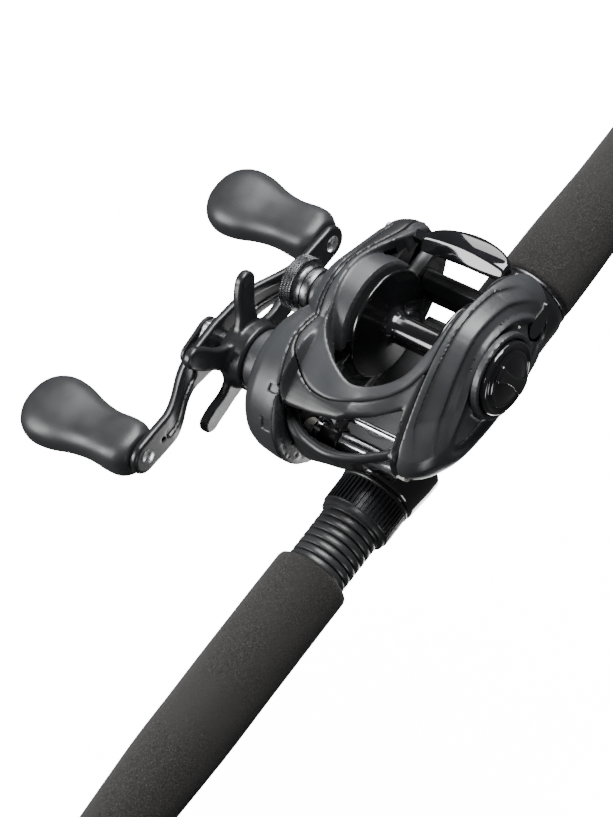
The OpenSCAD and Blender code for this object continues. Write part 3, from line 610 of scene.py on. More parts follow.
def gear_face(x, z):
    """How far out the gear side stands: the crown's low dome and the round gear housing."""
    rim = np.maximum(-belt(x, z, CROWN, STERN), 0)
    crown = 22.5 + 12.5 * np.sqrt(np.clip(1 - (1 - rim / 16) ** 2, 0, 1))
    r = off_axis(x, z, DRIVE)
    housing = np.interp(r, [0, 10, 14.5, 18.5, 21, 22.3, 23.4, 24.2, 40],
            [38.8, 38.7, 37.9, 35.9, 34.3, 33.0, 30.6, 26, -74])
    return smax(crown, housing, 1.6)


def opening(x, y, z):
    """The spool's opening: down through the lip, over a ramp on the gear side."""
    ring = SPOOL[1] + np.sqrt(np.maximum(RAMP_R ** 2 - (x - SPOOL[0]) ** 2, 0))
    ramp = np.where(y < -16, ring + 0.12 * (-16 - y), -60)
    return smax(inside_of(x, y, LIP), ramp - z, 0.8)


# The cavity before and behind the spool, as (x, z).
CAVITY_BOW = np.array([
    (8, 17), (26, 16.8), (37, 18), (42, 22), (43.6, 27), (44.3, 32), (48, 40), (38, 38.6), (30, 39.8),
    (20, 42), (8, 46)])
CAVITY_STERN = np.array([
    (-14, 46), (-60, 60), (-60, 6), (-19.8, 6), (-19.4, 17), (-14, 17)])


def cavity(x, y, z):
    """Room for the spool, the level wind and the gap under the thumb bar."""
    spool = off_axis(x, z, SPOOL) - SPOOL_ROOM_R
    bow = inside_of(x, z, CAVITY_BOW)
    stern = inside_of(x, z, CAVITY_STERN)
    room = np.minimum(np.minimum(spool, bow), stern)
    return smax(room, np.abs(y + 0.2) - WALL_IN, 0.7)


# Outline of the hollow in front of the spool, seen from above as (x, y).
TUB = outline([
    (20, -15), (31, -17), (39.6, -18.6), (43.4, -12), (44, -2), (41.6, 7.6), (36, 12.6), (28, 14.2),
    (20, 14)], 4)


def window(x, y, z):
    """The line window in front, over its rim and under the thumb rest."""
    edge = np.interp(y, *FRONT_EDGE) - x
    under = z - np.interp(y, *UNDERSIDE)
    wide = np.abs(y + 3.4) - 17.6
    over_rim = 31.6 - z
    tub = smax(inside_of(x, y, TUB), 17.5 - z, 1.5)
    slot = smax(smax(wide, over_rim, 4.0), smin(under, edge, 0.8), 1.0)
    return np.minimum(slot, smax(smax(tub, under, 1.0), 20 - x, 0.5))


def body(x, y, z):
    """The whole outer body with its openings, before it is parted into covers."""
    value = smax(hull(x, y, z), y - palm_face(x, z), 1.2)
    value = smax(value, -y - gear_face(x, z), 1.6)
    bow = np.where(y > -21.2, inside_of(x, y, BOW_PLAN), inside_of(x, y, BOW_PLAN) - 60)
    value = smax(value, bow, 1.4)
    value = smax(value, -opening(x, y, z), 0.9)
    value = smax(value, -window(x, y, z), 1.0)
    return np.maximum(value, -cavity(x, y, z))


# Half of the parting line's width between two covers.
GAP = 0.09


def cog_room(x, z):
    """Room round the level wind's two cogs."""
    return belt(x, z, (*DRIVE, 10.5), (*WORM, 5.3))


def gear_seam(x, y, z):
    """Negative on the gear cover's side of its parting line."""
    line = np.interp(x, [-40, -20, 8, 24, 36, 43, 50], [-25.5, -27, -26.6, -25.6, -22.4, -20.6, -20.6])
    return y - line - 0.06 * (30 - z) * (z < 30)


def top_seam(x, y, z):
    """Negative inside the top cover's parting line."""
    return smax(inside_of(x, y, PARTING) * 0.9, (36.5 - z) * 0.7, 0.4)


def palm_plate(x, y, z):
    """Hollow side plate with the dial's bezel and the lock lever's notch."""
    value = smax(body(x, y, z), PALM_SEAM + GAP - y, 0.8)
    inner = np.maximum(body(x, y, z) + 1.6, y - palm_face(x, z) + 1.8)
    value = np.maximum(value, -np.maximum(inner, 14 - y))
    dial = off_axis(x, z, SPOOL)
    bezel = np.maximum(np.abs(dial - 12.7) - 0.5, np.abs(y - 28.3) - 0.7) - 0.35
    value = smin(value, bezel, 1.2)
    value = smax(value, -np.maximum(dial - 12.0, 27.6 - y), 0.3)
    notch = belt(x, z, (-19.5, 30, 3.4), (-22.5, 24.5, 3.0))
    value = smax(value, -np.maximum(notch, 24.0 - y), 0.7)
    return value


# Screw heads as (x, z), and two small marks as (x0, x1, z0, z1, y0, y1).
SCREWS = [(-30, 33), (-25, 41), (-25, 25)]
RECESSES = [(36.0, 40.0, 41.0, 44.0, -24.4, -22.4), (41.5, 48.5, 32.5, 35.5, -25.2, -22.8)]


def gear_cover(x, y, z):
    """Hollow gear housing with the drive's boss and the cast control's neck."""
    value = smax(body(x, y, z), gear_seam(x, y, z) + GAP, 0.8)
    r = off_axis(x, z, DRIVE)
    boss = smax(smax(r - 9.8, -44.8 - y, 0.6), y + 30, 0.5)
    rs = off_axis(x, z, SPOOL)
    neck = smax(smax(rs - 6.2, -42 - y, 0.4), y + 30, 0.5)
    value = smin(value, smin(boss, neck, 0.5), 1.2)
    for x0, x1, z0, z1, y0, y1 in RECESSES:
        pocket = np.maximum(np.maximum(np.abs(x - (x0 + x1) / 2) - (x1 - x0) / 2,
                np.abs(z - (z0 + z1) / 2) - (z1 - z0) / 2),
                np.abs(y - (y0 + y1) / 2) - (y1 - y0) / 2)
        pocket = np.maximum(pocket, 23.85 - r)
        value = smax(value, -(pocket - 0.4), 0.4)
    for x0, z0 in SCREWS:
        sink = np.maximum(np.hypot(x - x0, z - z0) - 2.2, y + 28.2)
        value = smax(value, -sink, 0.3)
    gears = np.maximum(np.maximum(r - 22.3, -31.4 - y), y + 26.6)
    gears = np.minimum(gears, np.maximum(cog_room(x, z), -31.4 - y))
    gears = np.minimum(gears, np.maximum(r - 17.5, -34.6 - y))
    crown = smax(belt(x, z, CROWN, STERN) + 2.2, -27 - y, 2.0)
    clutch = np.maximum(r - 8.5, -46 - y)
    bearing = np.maximum(rs - 5.0, -44 - y)
    return np.maximum(value, -np.minimum(np.minimum(gears, crown), np.minimum(clutch, bearing)))


def between_covers(value, x, y, z):
    """Keeps what lies between the palm plate and the gear cover."""
    value = smax(value, y - PALM_SEAM + GAP, 0.8)
    return smax(value, -gear_seam(x, y, z) + GAP, 0.8)


def top_cover(x, y, z):
    """Cover over the spool, with the lip of its opening and room for the clutch."""
    value = between_covers(smax(body(x, y, z), top_seam(x, y, z) + GAP, 0.8), x, y, z)
    return np.maximum(value, -np.maximum(belt(x, z, CROWN, STERN) + 3.4, y + 21.0))


# Floor under the spool and the level wind, and the bridge behind the spool, as (x, z).
DECK = np.array([
    (-17.5, 12.6), (20, 12.7), (36, 14.6), (42, 18.6), (45, 25), (45, 31.2), (42.6, 31.2), (41.8, 22.0),
    (37.4, 16.6), (28, 15.6), (18, 14.7), (-15.5, 14.7), (-17.5, 14.0)])
BRIDGE = np.array([
    (-22.5, 31), (-24, 28.5), (-25.5, 24.5), (-24, 21.5), (-20.5, 19.8), (-18.6, 21.2), (-18.9, 26),
    (-20.4, 30)])


def main_frame(x, y, z):
    """The frame under the covers: rim, floor, rear bridge, and the gear train's room."""
    value = between_covers(smax(body(x, y, z), -top_seam(x, y, z) + GAP, 0.8), x, y, z)
    bridge = np.maximum(inside_of(x, z, BRIDGE) - 0.5, np.abs(y) - 15.4)
    value = smin(value, bridge, 1.0)
    outer = smax(hull(x, y, z), inside_of(x, y, BOW_PLAN), 1.4)
    deck = smax(inside_of(x, z, DECK), np.abs(y) - 15.4, 0.4)
    value = smin(value, smax(deck, outer + 0.3, 0.4), 0.5)
    rim = np.hypot(inside_of(x, y, RIM), (z - 31.4) * 0.85) - 1.45
    rim = smax(smax(rim, 30.5 - x, 0.6), np.abs(y + 3.4) - 20.0, 0.5)
    value = smin(value, rim, 0.9)
    spool_hole = np.maximum(np.maximum(off_axis(x, z, SPOOL) - SPOOL_HOLE_R, 15.6 - np.abs(y)), -17.4 - y)
    value = smax(value, -spool_hole, 0.4)
    pinion = np.maximum(off_axis(x, z, SPOOL) - 5.0, y)
    drive = off_axis(x, z, DRIVE)
    train = np.minimum(np.maximum(drive - 22.4, y + 26.4), np.maximum(cog_room(x, z), y + 20.4))
    clutch = np.maximum(belt(x, z, CROWN, STERN) + 3.0, y + 20.4)
    return np.maximum(value, -np.minimum(pinion, np.minimum(train, clutch)))


def add_fixed(rows):
    """Adds pieces of the fixed body from (name, shape, slot, replaced nodes...) rows."""
    for name, shape, slot, *nodes in rows:
        piece(name, shape, slot, "rod_and_frame", *nodes)


def add_shells():
    add_fixed([
        ("top_cover_shell", solid_from(top_cover, (-37, -28, 35), (51, 19, 56)), "shell_satin", "top_cover"),
        ("main_frame_shell", solid_from(main_frame, (-37, -28, 8), (51, 19, 56)), "frame_graphite",
         "reel_frame"),
        ("gear_cover_shell", solid_from(gear_cover, (-37, -47, -2), (51, -18, 56)), "shell_satin",
         "gear_side_cover"),
        ("palm_plate_shell", solid_from(palm_plate, (-37, 15, 7), (44, 32, 56)), "shell_satin",
         "palm_side_plate")])


# ---- handle and caps ----

ARM_REACH = math.dist(KNOBS[0], KNOBS[1]) / 2
ARM_AHEAD = tuple((KNOBS[1][i] - KNOBS[0][i]) / (2 * ARM_REACH) for i in (0, 1))
ARM_END_Y = -53.2
ARM_BOW = 7.4
ARM_T = 2.4
STAR_ARMS = 5
STAR_START = 112
DIAL_TILT = math.radians(24)


def from_arm(points):
    """Turns (along the arm, y, across) into the reel's frame."""
    p = np.asarray(points, float)
    ax, az = ARM_AHEAD
    return np.stack([DRIVE[0] + p[:, 0] * ax - p[:, 2] * az, p[:, 1],
            DRIVE[1] + p[:, 0] * az + p[:, 2] * ax], 1)


def arm_face(u):
    """The arm's reel-side face: bowed out in the middle."""
    t = np.clip((35 - np.abs(u)) / 21, 0, 1)
    return ARM_END_Y - ARM_BOW * t * t * (3 - 2 * t)


def arm_field(u, y, v):
    """Handle arm: a belt from knob to knob with two grooves and two small holes."""
    outline = smin(belt(u, v, (0, 0, 7.6), (ARM_REACH, 0, 5.6)),
            belt(u, v, (0, 0, 7.6), (-ARM_REACH, 0, 5.6)), 0.5)
    outline = outline + 1.1 * np.exp(-((np.abs(u) - 22) / 11) ** 2)
    face = arm_face(u)
    thick = np.abs(y - (face - ARM_T / 2)) * 0.93 - ARM_T / 2
    value = smax(outline, thick, 1.1)
    slot = belt(np.abs(u), v, (16, 0, 2.6), (35, 0, 1.7))
    value = smax(value, -np.maximum(slot, face - 0.7 - y), 0.5)
    hole = np.hypot(np.abs(u) - 38.3, v) - 0.8
    return smax(value, -hole, 0.3)


def star_field(u, y, v):
    """Star drag wheel about the drive axis: a turned hub and five cranked arms."""
    r = np.hypot(u, v)
    hub = np.interp(-y, [45.2, 45.9, 52, 54.6, 56.2], [10.2, 10.7, 10.7, 9.4, 6.8])
    value = smax(r - hub, np.abs(y + 50.6) - 5.4, 0.7)
    for k in range(STAR_ARMS):
        t = math.radians(STAR_START + k * 360 / STAR_ARMS)
        along = u * math.cos(t) + v * math.sin(t)
        across = -u * math.sin(t) + v * math.cos(t)
        rise = np.clip((along - 9) / 15, 0, 1)
        centre = -51.2 - 1.9 * rise * rise * (3 - 2 * rise)
        bend = across - 2.0 * np.clip((along - 8) / 16, 0, 1) ** 2
        wing = belt(along, bend, (8, 0, 4.8), (23.6, 0, 3.5))
        wing = wing + 0.8 * np.exp(-((along - 14.5) / 3.8) ** 2)
        value = smin(value, smax(wing, np.abs(y - centre) * 0.96 - 1.4, 1.0), 1.2)
    return np.maximum(value, 3.1 - r)


def knob(side):
    """Paddle knob: flattened round sections with a waist, on its own spindle."""
    stations = [(-56.0, 5.2, 5.0), (-56.5, 6.4, 6.2), (-59, 8.2, 7.0), (-63, 8.7, 6.9),
            (-70, 8.5, 6.3), (-77, 9.6, 6.5), (-84, 11.6, 7.4), (-90, 12.0, 7.7),
            (-94.5, 10.4, 6.9), (-97.2, 7.6, 5.3), (-98.6, 4.2, 3.0), (-99.0, 1.2, 0.9)]
    curve = smooth_curve(stations, 5)
    t = np.linspace(0, 2 * np.pi, 56, endpoint=False)
    rings = []
    for y, wide, thick in curve:
        square = 2.25 + 0.5 * math.exp(-((y + 62) / 9) ** 2)
        c, s = np.cos(t), np.sin(t)
        size = (np.abs(c) ** square + np.abs(s) ** square) ** (-1 / square)
        rings.append(from_arm(np.stack([side * ARM_REACH + wide * size * c, np.full(56, y),
                thick * size * s], 1)))
    return rings_mesh(rings)


def arm_piece():
    verts, faces = solid_from(arm_field, (-53, -65, -10), (53, -51, 10), 0.45)
    return from_arm(verts), faces


def star_piece():
    verts, faces = solid_from(star_field, (-29, -58, -29), (29, -44, 29), 0.42)
    return verts + np.array([DRIVE[0], 0, DRIVE[1]]), faces


def diamond_knurl(count, pitch, depth, low, high):
    """Crossed helical grooves between two stations."""
    def ripple(station, angle, radius):
        inside = min(max((station - low) / 0.4, 0), 1) * min(max((high - station) / 0.4, 0), 1)
        a = np.abs(np.sin((angle * count + station * pitch) / 2))
        b = np.abs(np.sin((angle * count - station * pitch) / 2))
        return -depth * inside * (1 - np.minimum(a, b))
    return ripple


def tension_cap():
    stations = [(-48.6, 0), (-48.6, 6.0), (-48.4, 7.0), (-48.0, 7.9)]
    stations += [(float(y), 8.8) for y in np.linspace(-47.6, -43.7, 27)]
    stations += [(-43.4, 8.1), (-43.1, 7.5), (-42.6, 7.2), (-41.4, 7.2), (-41.2, 6.8),
            (-40.4, 6.8), (-40.2, 7.2), (-38.7, 7.2), (-38.4, 7.0), (-38.4, 5.2)]
    knurl = diamond_knurl(72, 9.0, 0.42, -47.8, -43.5)
    return turned(stations, "y", SPOOL, 432,
            lambda s, a, r: knurl(s, a, r) if r > 8.5 else 0 * a)


def hex_nut():
    rings = []
    for y, r in ((-66.4, 3.2), (-66.4, 4.6), (-66.1, 5.1), (-65.6, 5.25), (-63.4, 5.25),
            (-63.1, 5.0), (-63.1, 3.2)):
        t = np.linspace(0, 2 * np.pi, 72, endpoint=False)
        flat = 1 / np.cos((t + math.pi / 6) % (math.pi / 3) - math.pi / 6)
        size = np.minimum(flat * 0.905, 1.0) * r if r > 4 else np.full(72, r)
        rings.append(from_arm(np.stack([size * np.cos(t), np.full(72, y), size * np.sin(t)], 1)))
    return rings_mesh(rings)


def rivets():
    """Domed rivet heads of the two knob spindles, and the spindles' posts."""
    parts = []
    for centre in KNOBS:
        parts.append(turned([(-52.2, 0), (-52.25, 0.9), (-52.45, 1.8), (-52.8, 2.5), (-53.2, 2.8),
                (-53.2, 2.0), (-56.4, 2.0), (-56.4, 0)], "y", centre, 40))
        parts.append(turned([(-56.4, 0), (-56.4, 2.0), (-93.0, 2.0), (-93.0, 0)], "y", centre, 24))
    return join_parts(parts)


def add_handle():
    piece("handle_arm_plate", arm_piece(), "handle_alloy", "crank", "handle_arm")
    piece("star_wheel", star_piece(), "handle_alloy", "drag_star", "star_drag")
    piece("rear_paddle", knob(-1), "knob_grip", "rear_knob", "knob_rear")
    piece("front_paddle", knob(1), "knob_grip", "front_knob", "knob_front")
    piece("spindle_rivets", rivets(), "chrome_nut", "crank", "knob_spindles")
    piece("hex_handle_nut", hex_nut(), "chrome_nut", "crank", "handle_nut")
    piece("cast_control_cap", tension_cap(), "gloss_black", "tension_knob", "tension_cap",
          look=KNURLED)


# ---- dial, lever, thumb bar and spool ----


def brake_dial():
    """Domed dial cap with its raised ring; the finger bar across it is a piece of its own."""
    stations = [(22.6, 0), (22.6, 1.5), (28.3, 1.5), (28.3, 11.2), (28.5, 11.6), (30.2, 11.6),
            (30.9, 11.2), (31.1, 10.6), (30.8, 10.1), (30.4, 9.8), (30.5, 9.3), (31.2, 8.8),
            (31.5, 8.2), (31.4, 7.6), (31.7, 6.4), (32.1, 4.6), (32.3, 2.4), (32.4, 0)]
    return turned(rounded(stations, 0.25), "y", SPOOL, 128)


def dial_field(u, y, v):
    """Finger bar across the dial."""
    bar = smax(np.abs(u) - 1.5 - 0.02 * v * v, np.hypot(u, v) - 8.6, 0.6)
    return smax(bar, np.abs(y - 31.7) - 1.05, 0.9)


# Outline of the thumb bar, seen from above as (x, y).
THUMB = outline([
    (-21.2, -14.4), (-22.2, -8), (-22.8, 0), (-22.9, 8), (-23.4, 14.2), (-25.6, 14.9), (-28.6, 14.4),
    (-31.4, 10), (-32.8, 3), (-32.4, -3), (-30.4, -9.6), (-27.6, -13.6), (-24.6, -14.9), (-22.2, -14.9)])


def thumb_field(x, y, z):
    """Thumb bar: straight in front, bowed behind, with a crowned top and a flat front face."""
    top = 46.2 - 0.045 * (x + 27) ** 2 - 0.005 * y * y
    value = smax(inside_of(x, y, THUMB), z - top, 1.3)
    value = smax(value, 40.2 + 0.10 * (x + 33) - z, 0.8)
    front = (x + 21.4) * 0.78 + (z - 40.4) * 0.63 - 0.2
    value = smax(value, front, 0.4)
    lug = np.maximum(np.abs(x + 26) - 1.6, np.maximum(np.abs(z - 41.8) - 1.5, np.abs(y + 16) - 3))
    return smin(value, lug, 0.4)


def spool_shape():
    s = 14.0
    half = [(s - 0.4, 1.7), (s - 0.4, 6.4), (s - 0.9, 7.6), (s - 0.3, 14.2), (s, 15.2),
            (s, 16.8), (s - 0.3, 17.0), (s - 0.9, 17.0), (s - 1.2, 16.7), (s - 1.3, 15.9),
            (s - 3, 6.6), (s - 4, 5.2), (s - 5.4, 4.5)]
    profile = [(-y, r) for y, r in half] + [(y, r) for y, r in reversed(half)]
    return loop_mesh(rounded(profile, 0.5), "y", SPOOL, 128)


def worm_shape():
    """Level-wind worm: a shaft with two crossing helical grooves."""
    turns = 2 * math.pi / 6.2

    def ripple(station, angle, radius):
        if radius < 2 or abs(station) > 13.4:
            return 0 * angle
        a = np.abs(np.sin((angle + station * turns) / 2))
        b = np.abs(np.sin((angle - station * turns) / 2))
        return -0.5 * np.clip((0.28 - np.minimum(a, b)) / 0.14, 0, 1)
    stations = [(-24.4, 0), (-24.4, 1.6), (-14.9, 1.6), (-14.8, 2.3)]
    stations += [(float(y), 2.3) for y in np.linspace(-14.4, 14.4, 145)]
    stations += [(14.8, 2.3), (14.9, 1.6), (18.6, 1.6), (18.6, 0)]
    return turned(stations, "y", WORM, 72, ripple)


CARRIAGE_Y = float(node_box("line_guide")[0][1] + node_box("line_guide")[1][1]) / 2
ROD = (30.5, 28.5)
EYE_Z = 30.8


def carriage(x, y, z):
    """Line guide's carriage: a sleeve on the worm, a sleeve on the rod and the eye's block."""
    worm = np.hypot(x - WORM[0], z - WORM[1])
    rod = np.hypot(x - ROD[0], z - ROD[1])
    block = smin(worm - 4.2, rod - 2.3, 1.6)
    head = belt(x, z, (32.8, 29.6, 3.2), (34.0, 31.0, 2.7))
    block = smin(block, head, 1.2)
    waist = 3.4 - 0.5 * np.clip((worm - 3.4) / 2, 0, 1) * (z < 29)
    value = smax(block, np.abs(y) - waist, 0.7)
    flare = np.hypot(y, z - EYE_Z) - 2.42 - 0.5 * np.clip((x - 36.3) / 1.2, 0, 1)
    value = smax(value, -flare, 0.3)
    value = smax(value, -(worm - 3.22), 0.2)
    pin = np.maximum(np.hypot(x - WORM[0], y) - 1.9, np.abs(z - WORM[1] + 4.4) - 1.8)
    return smax(smin(value, pin, 0.4), -(rod - 1.18), 0.2)


def eye():
    section = [(31.6, 1.95), (31.9, 1.9), (36.0, 1.9), (36.5, 2.15), (36.4, 2.38), (31.7, 2.38)]
    verts, faces = loop_mesh(section, "x", (0, EYE_Z), 48)
    return verts + np.array([0, CARRIAGE_Y, 0]), faces


def guide_bar():
    stations = [(-15.2, 0), (-15.2, 0.9), (-15.0, 1.1), (15.0, 1.1), (15.2, 0.9), (15.2, 0)]
    return turned(stations, "y", ROD, 40)


def guard_shape():
    """Open tube round the worm, slotted underneath, with a rolled lip at each end."""
    t = np.radians(np.linspace(-148, 148, 41))
    rings = []
    for y, r in ((-15.1, 3.1), (-14.6, 3.1), (-14.4, 2.98), (14.4, 2.98), (14.6, 3.1), (15.1, 3.1)):
        outside = [(WORM[0] + r * math.sin(a), y, WORM[1] + r * math.cos(a)) for a in t]
        inside = [(WORM[0] + 2.55 * math.sin(a), y, WORM[1] + 2.55 * math.cos(a)) for a in t[::-1]]
        rings.append(np.array(outside + inside))
    return rings_mesh(rings)


def add_level_wind():
    verts, faces = solid_from(carriage, (27, -4.5, 16), (41.5, 4.5, 36), 0.32)
    piece("line_guide_carriage", (verts + np.array([0, CARRIAGE_Y, 0]), faces), "inner_plastic",
          "carriage", "line_guide")
    piece("line_guide_insert", eye(), "guide_ceramic", "carriage", "line_guide_eye")
    piece("level_wind_rod", guide_bar(), "bright_steel", "rod_and_frame", "guide_rod")
    piece("worm_guard_tube", guard_shape(), "bright_steel", "rod_and_frame", "worm_guard")


def add_controls():
    at_dial = np.array([SPOOL[0], 0, SPOOL[1]])
    piece("brake_dial_cap", brake_dial(), "gloss_black", "brake_knob", "brake_dial")
    verts, faces = solid_from(dial_field, (-6, 29.6, -10), (6, 33.6, 10), 0.3)
    turned_verts = verts.copy()
    turned_verts[:, 0] = verts[:, 0] * math.cos(DIAL_TILT) + verts[:, 2] * math.sin(DIAL_TILT)
    turned_verts[:, 2] = verts[:, 2] * math.cos(DIAL_TILT) - verts[:, 0] * math.sin(DIAL_TILT)
    piece("brake_dial_bar", (turned_verts + at_dial, faces), "gloss_black", "brake_knob")
    piece("thumb_rest_bar", solid_from(thumb_field, (-36, -20, 38), (-19, 16, 48), 0.4),
          "gloss_black", "thumb_button", "thumb_bar")
    piece("line_spool", spool_shape(), "spool_alloy", "spool_body", "spool")
    piece("level_wind_worm", worm_shape(), "bright_steel", "worm", "worm_shaft")
    dot = turned([(25.2, 0), (25.2, 0.5), (26.0, 0.5), (26.15, 0.35), (26.2, 0)], "y",
            (SPOOL[0] - 14.3, SPOOL[1] + 4.6), 20)
    piece("dial_index_dot", dot, "cog_plastic", "rod_and_frame")


# ---- rod ----


def ribs(count, depth, low, high):
    """Straight grip ribs between two stations."""
    def ripple(station, angle, radius):
        if station < low or station > high:
            return 0 * angle
        wave = np.cos(angle * count)
        return -depth * np.clip(0.5 - 1.6 * wave, 0, 1)
    return ripple


def lock_nut():
    """Ribbed lock nut: a flange towards the reel, the ribs, then a plain collar."""
    x = NUT_START
    stations = [(x, 9.75), (x, 10.9)] + [(x + d, r) for d, r in (
        (0.2, 11.4), (0.5, 11.6), (1.0, 11.6), (1.2, 11.4), (1.3, 11.3), (1.5, 11.4), (1.7, 11.4),
        (4, 11.4), (8, 11.4), (10.3, 11.4), (10.5, 11.4), (10.7, 11.3), (10.8, 10.9), (11.9, 10.9),
        (12.4, 10.7), (12.6, 10.3), (12.6, 9.75))]
    return turned(stations, "x", (0, 0), 480, ribs(48, 0.6, x + 1.6, x + 10.4), through=True)


def foot_slot(r, y, z):
    """Slot over the seat for the reel's foot, open along x."""
    return np.maximum(np.maximum(r - 12.3, np.abs(y) - 7.4), -z)


def hood(x, y, z):
    """Sliding hood: a barrel round the seat, swollen over the foot."""
    r = np.hypot(y, z)
    top = np.clip(z / 14, 0, 1) ** 2
    outer = 12.9 + 0.9 * top - 0.09 * np.clip(x - 27, 0, 10)
    middle = (HOOD_START + HOOD_END) / 2
    value = smax(r - outer, np.abs(x - middle) - (HOOD_END - HOOD_START) / 2, 1.2)
    bore = r - 10.75
    pocket = np.maximum(foot_slot(r, y, z), x - 29.6)
    return np.maximum(value, -np.minimum(bore, pocket))


# Outline of the trigger and its root under the seat, as (x, z).
TRIGGER = outline([
    (-25, -8), (-14, -9), (-9, -12), (-7.2, -17), (-8.4, -22.4), (-11.2, -24.6), (-14, -23.4),
    (-13.6, -19), (-16.5, -14.8), (-25, -12.4)])


def seat(x, y, z):
    """Reel seat: rear hood, barrel and trigger in one glossy moulding."""
    r = np.hypot(y, z)
    outer = np.interp(x, [-44, -41, -26, -21, -16, 37], [12.5, 13.2, 13.2, 12.4, 10.6, 10.6])
    outer = outer + 0.7 * np.clip(z / 14, 0, 1) ** 2 * np.clip((-18 - x) / 6, 0, 1)
    value = smax(r - outer, np.abs(x + 3.4) - 40.6, 1.0)
    trigger = smax(inside_of(x, z, TRIGGER), np.abs(y) - 3.0, 1.6)
    value = smin(value, trigger, 3.0)
    pocket = np.maximum(foot_slot(r, y, z), np.abs(x + 5) - 24.5)
    foot = np.maximum(pocket, 10.6 - r)
    return np.maximum(value, -foot)


def threads():
    """Flat-topped thread ridges with narrow grooves between them."""
    x = NUT_START + 0.4
    stations = [(x, 6.2), (x, 8.6)]
    while x + 2.9 < SEAT_FRONT:
        stations += [(x + 0.15, 8.75), (x + 0.4, 9.0), (x + 0.55, 9.5), (x + 0.85, 9.68),
                (x + 2.15, 9.68), (x + 2.45, 9.5), (x + 2.55, 9.0)]
        x += 2.6
    stations += [(SEAT_FRONT - 0.1, 8.7), (SEAT_FRONT - 0.1, 6.2)]
    return turned(stations, "x", (0, 0), 112, through=True)


def grip(stations, waves):
    """Foam grip: turned, with a slow unevenness that a moulded foam tube has."""
    def ripple(station, angle, radius):
        if radius < 7:
            return 0 * angle
        return 0.05 * np.sin(angle * 3 + station * waves) + 0.03 * np.sin(angle * 7 - station * 0.21)
    return turned(stations, "x", (0, 0), 96, ripple, through=True)


def fore_grip():
    x = SEAT_FRONT
    curve = smooth_curve([(x + 1.4, 12.0), (x + 30, 12.05), (x + 64, 12.0), (x + 84, 11.4),
            (x + 104, 10.4), (x + 126, 9.2), (x + 137, 8.4), (GRIP_END - 1.4, 7.8)], 10)
    stations = [(x, 6.1), (x, 10.6), (x + 0.1, 11.2), (x + 0.5, 11.7)] + [tuple(p) for p in curve]
    return grip(stations + [(GRIP_END - 0.4, 7.2), (GRIP_END, 6.6), (GRIP_END, 6.1)], 0.13)


def rear_grip():
    curve = smooth_curve([(-268.4, 11.6), (-200, 11.65), (-120, 11.7), (-93, 11.75), (-80, 12.1),
            (-64, 12.6), (-50, 12.75), (-46.6, 12.6)], 10)
    stations = [(-270, 6.1), (-270, 10.8), (-269.6, 11.4)] + [tuple(p) for p in curve]
    return grip(stations + [(-45.9, 12.2), (-45.5, 11.6), (-45.5, 6.1)], 0.11)


def butt_cap():
    stations = [(-290, 0), (-290, 9.2), (-289.8, 10.4), (-288.9, 11.8), (-287.2, 12.8), (-285, 13.2),
            (-276, 13.2), (-275.6, 12.8), (-275, 12.8), (-274.6, 13.2), (-272.4, 13.2),
            (-271, 12.8), (-270, 12.2), (-270, 6.1)]
    return turned(rounded(stations, 0.4), "x", (0, 0), 96)


# Distance of each guide from the tip, and its ring's inner radius.
GUIDES = [(100, 3.1), (210, 3.1), (335, 3.1), (475, 3.3), (635, 3.8), (820, 4.6), (1020, 5.8)]
TIP = node_box("rod_blank")[1][0] + 4
BLANK_R = 6.0
BLANK_TIP_R = 1.0


def blank_radius(x):
    t = np.clip((x - GRIP_END) / (TIP - 4 - GRIP_END), 0, 1)
    return BLANK_R + (BLANK_TIP_R - BLANK_R) * t


def blank():
    """Tapered blank, with a thinner end inside the tip's tube."""
    stations = [(-286, 0), (-286, 5.7), (-285.6, 6.0)]
    stations += [(float(x), float(blank_radius(x))) for x in np.linspace(-280, TIP - 5, 90)]
    stations += [(TIP - 4.2, 0.9), (TIP - 4, 0.6), (TIP - 4, 0)]
    return turned(stations, "x", (0, 0), 48)


def bead(x0, x1, inner, outer, edge=0.3):
    """Closed section of a ring along x with rounded edges."""
    return [(x0, inner + edge), (x0, outer - edge), (x0 + edge, outer), (x1 - edge, outer),
            (x1, outer - edge), (x1, inner + edge), (x1 - edge * 1.6, inner), (x0 + edge * 1.6, inner)]


def guide(distance, inner):
    """One guide: its ring, its wire frame with two feet, and the wraps over the feet."""
    x = TIP - distance
    b = float(blank_radius(x))
    height = b + inner * 1.5 + 2.9
    outer = inner + 1.9
    reach = outer * 1.5 + 4
    ring = loop_mesh(bead(x - 1.1, x + 1.1, inner, inner + 0.88, 0.35), "x", (0, height), 56)
    parts = [loop_mesh(bead(x - 0.9, x + 0.9, inner + 0.9, outer, 0.25), "x", (0, height), 56)]
    wraps = []
    for way in (-1, 1):
        for side in (-1, 1):
            path = smooth_curve([
                (x + way * 0.3, side * outer * 0.80, height - outer * 0.55),
                (x + way * reach * 0.42, side * outer * 0.50, b + (height - b) * 0.42),
                (x + way * reach * 0.86, side * 0.62, b + 0.85),
                (x + way * (reach + 3), side * 0.42, b + 0.30),
                (x + way * (reach + 8.5), side * 0.38, b + 0.12)], 7)
            parts.append(sweep(path, np.linspace(0.62, 0.34, len(path)), 10))
        middle = x + way * (outer * 1.5 + 9.5)
        low, high = blank_radius(middle - 5.5), blank_radius(middle + 5.5)
        profile = [(middle - 5.5, low), (middle - 5.2, low + 0.35), (middle - 4, low + 0.82)]
        profile += [(middle + d, float(blank_radius(middle + d)) + 0.92 + 0.02 * (k % 2))
                for k, d in enumerate(np.linspace(-3.4, 3.4, 15))]
        profile += [(middle + 4, high + 0.82), (middle + 5.2, high + 0.35), (middle + 5.5, high)]
        wraps.append(turned(profile, "x", (0, 0), 40))
    return ring, join_parts(parts), join_parts(wraps)


# Inner radius and height of the tip's ring.
TIP_RING = (2.6, 3.6)


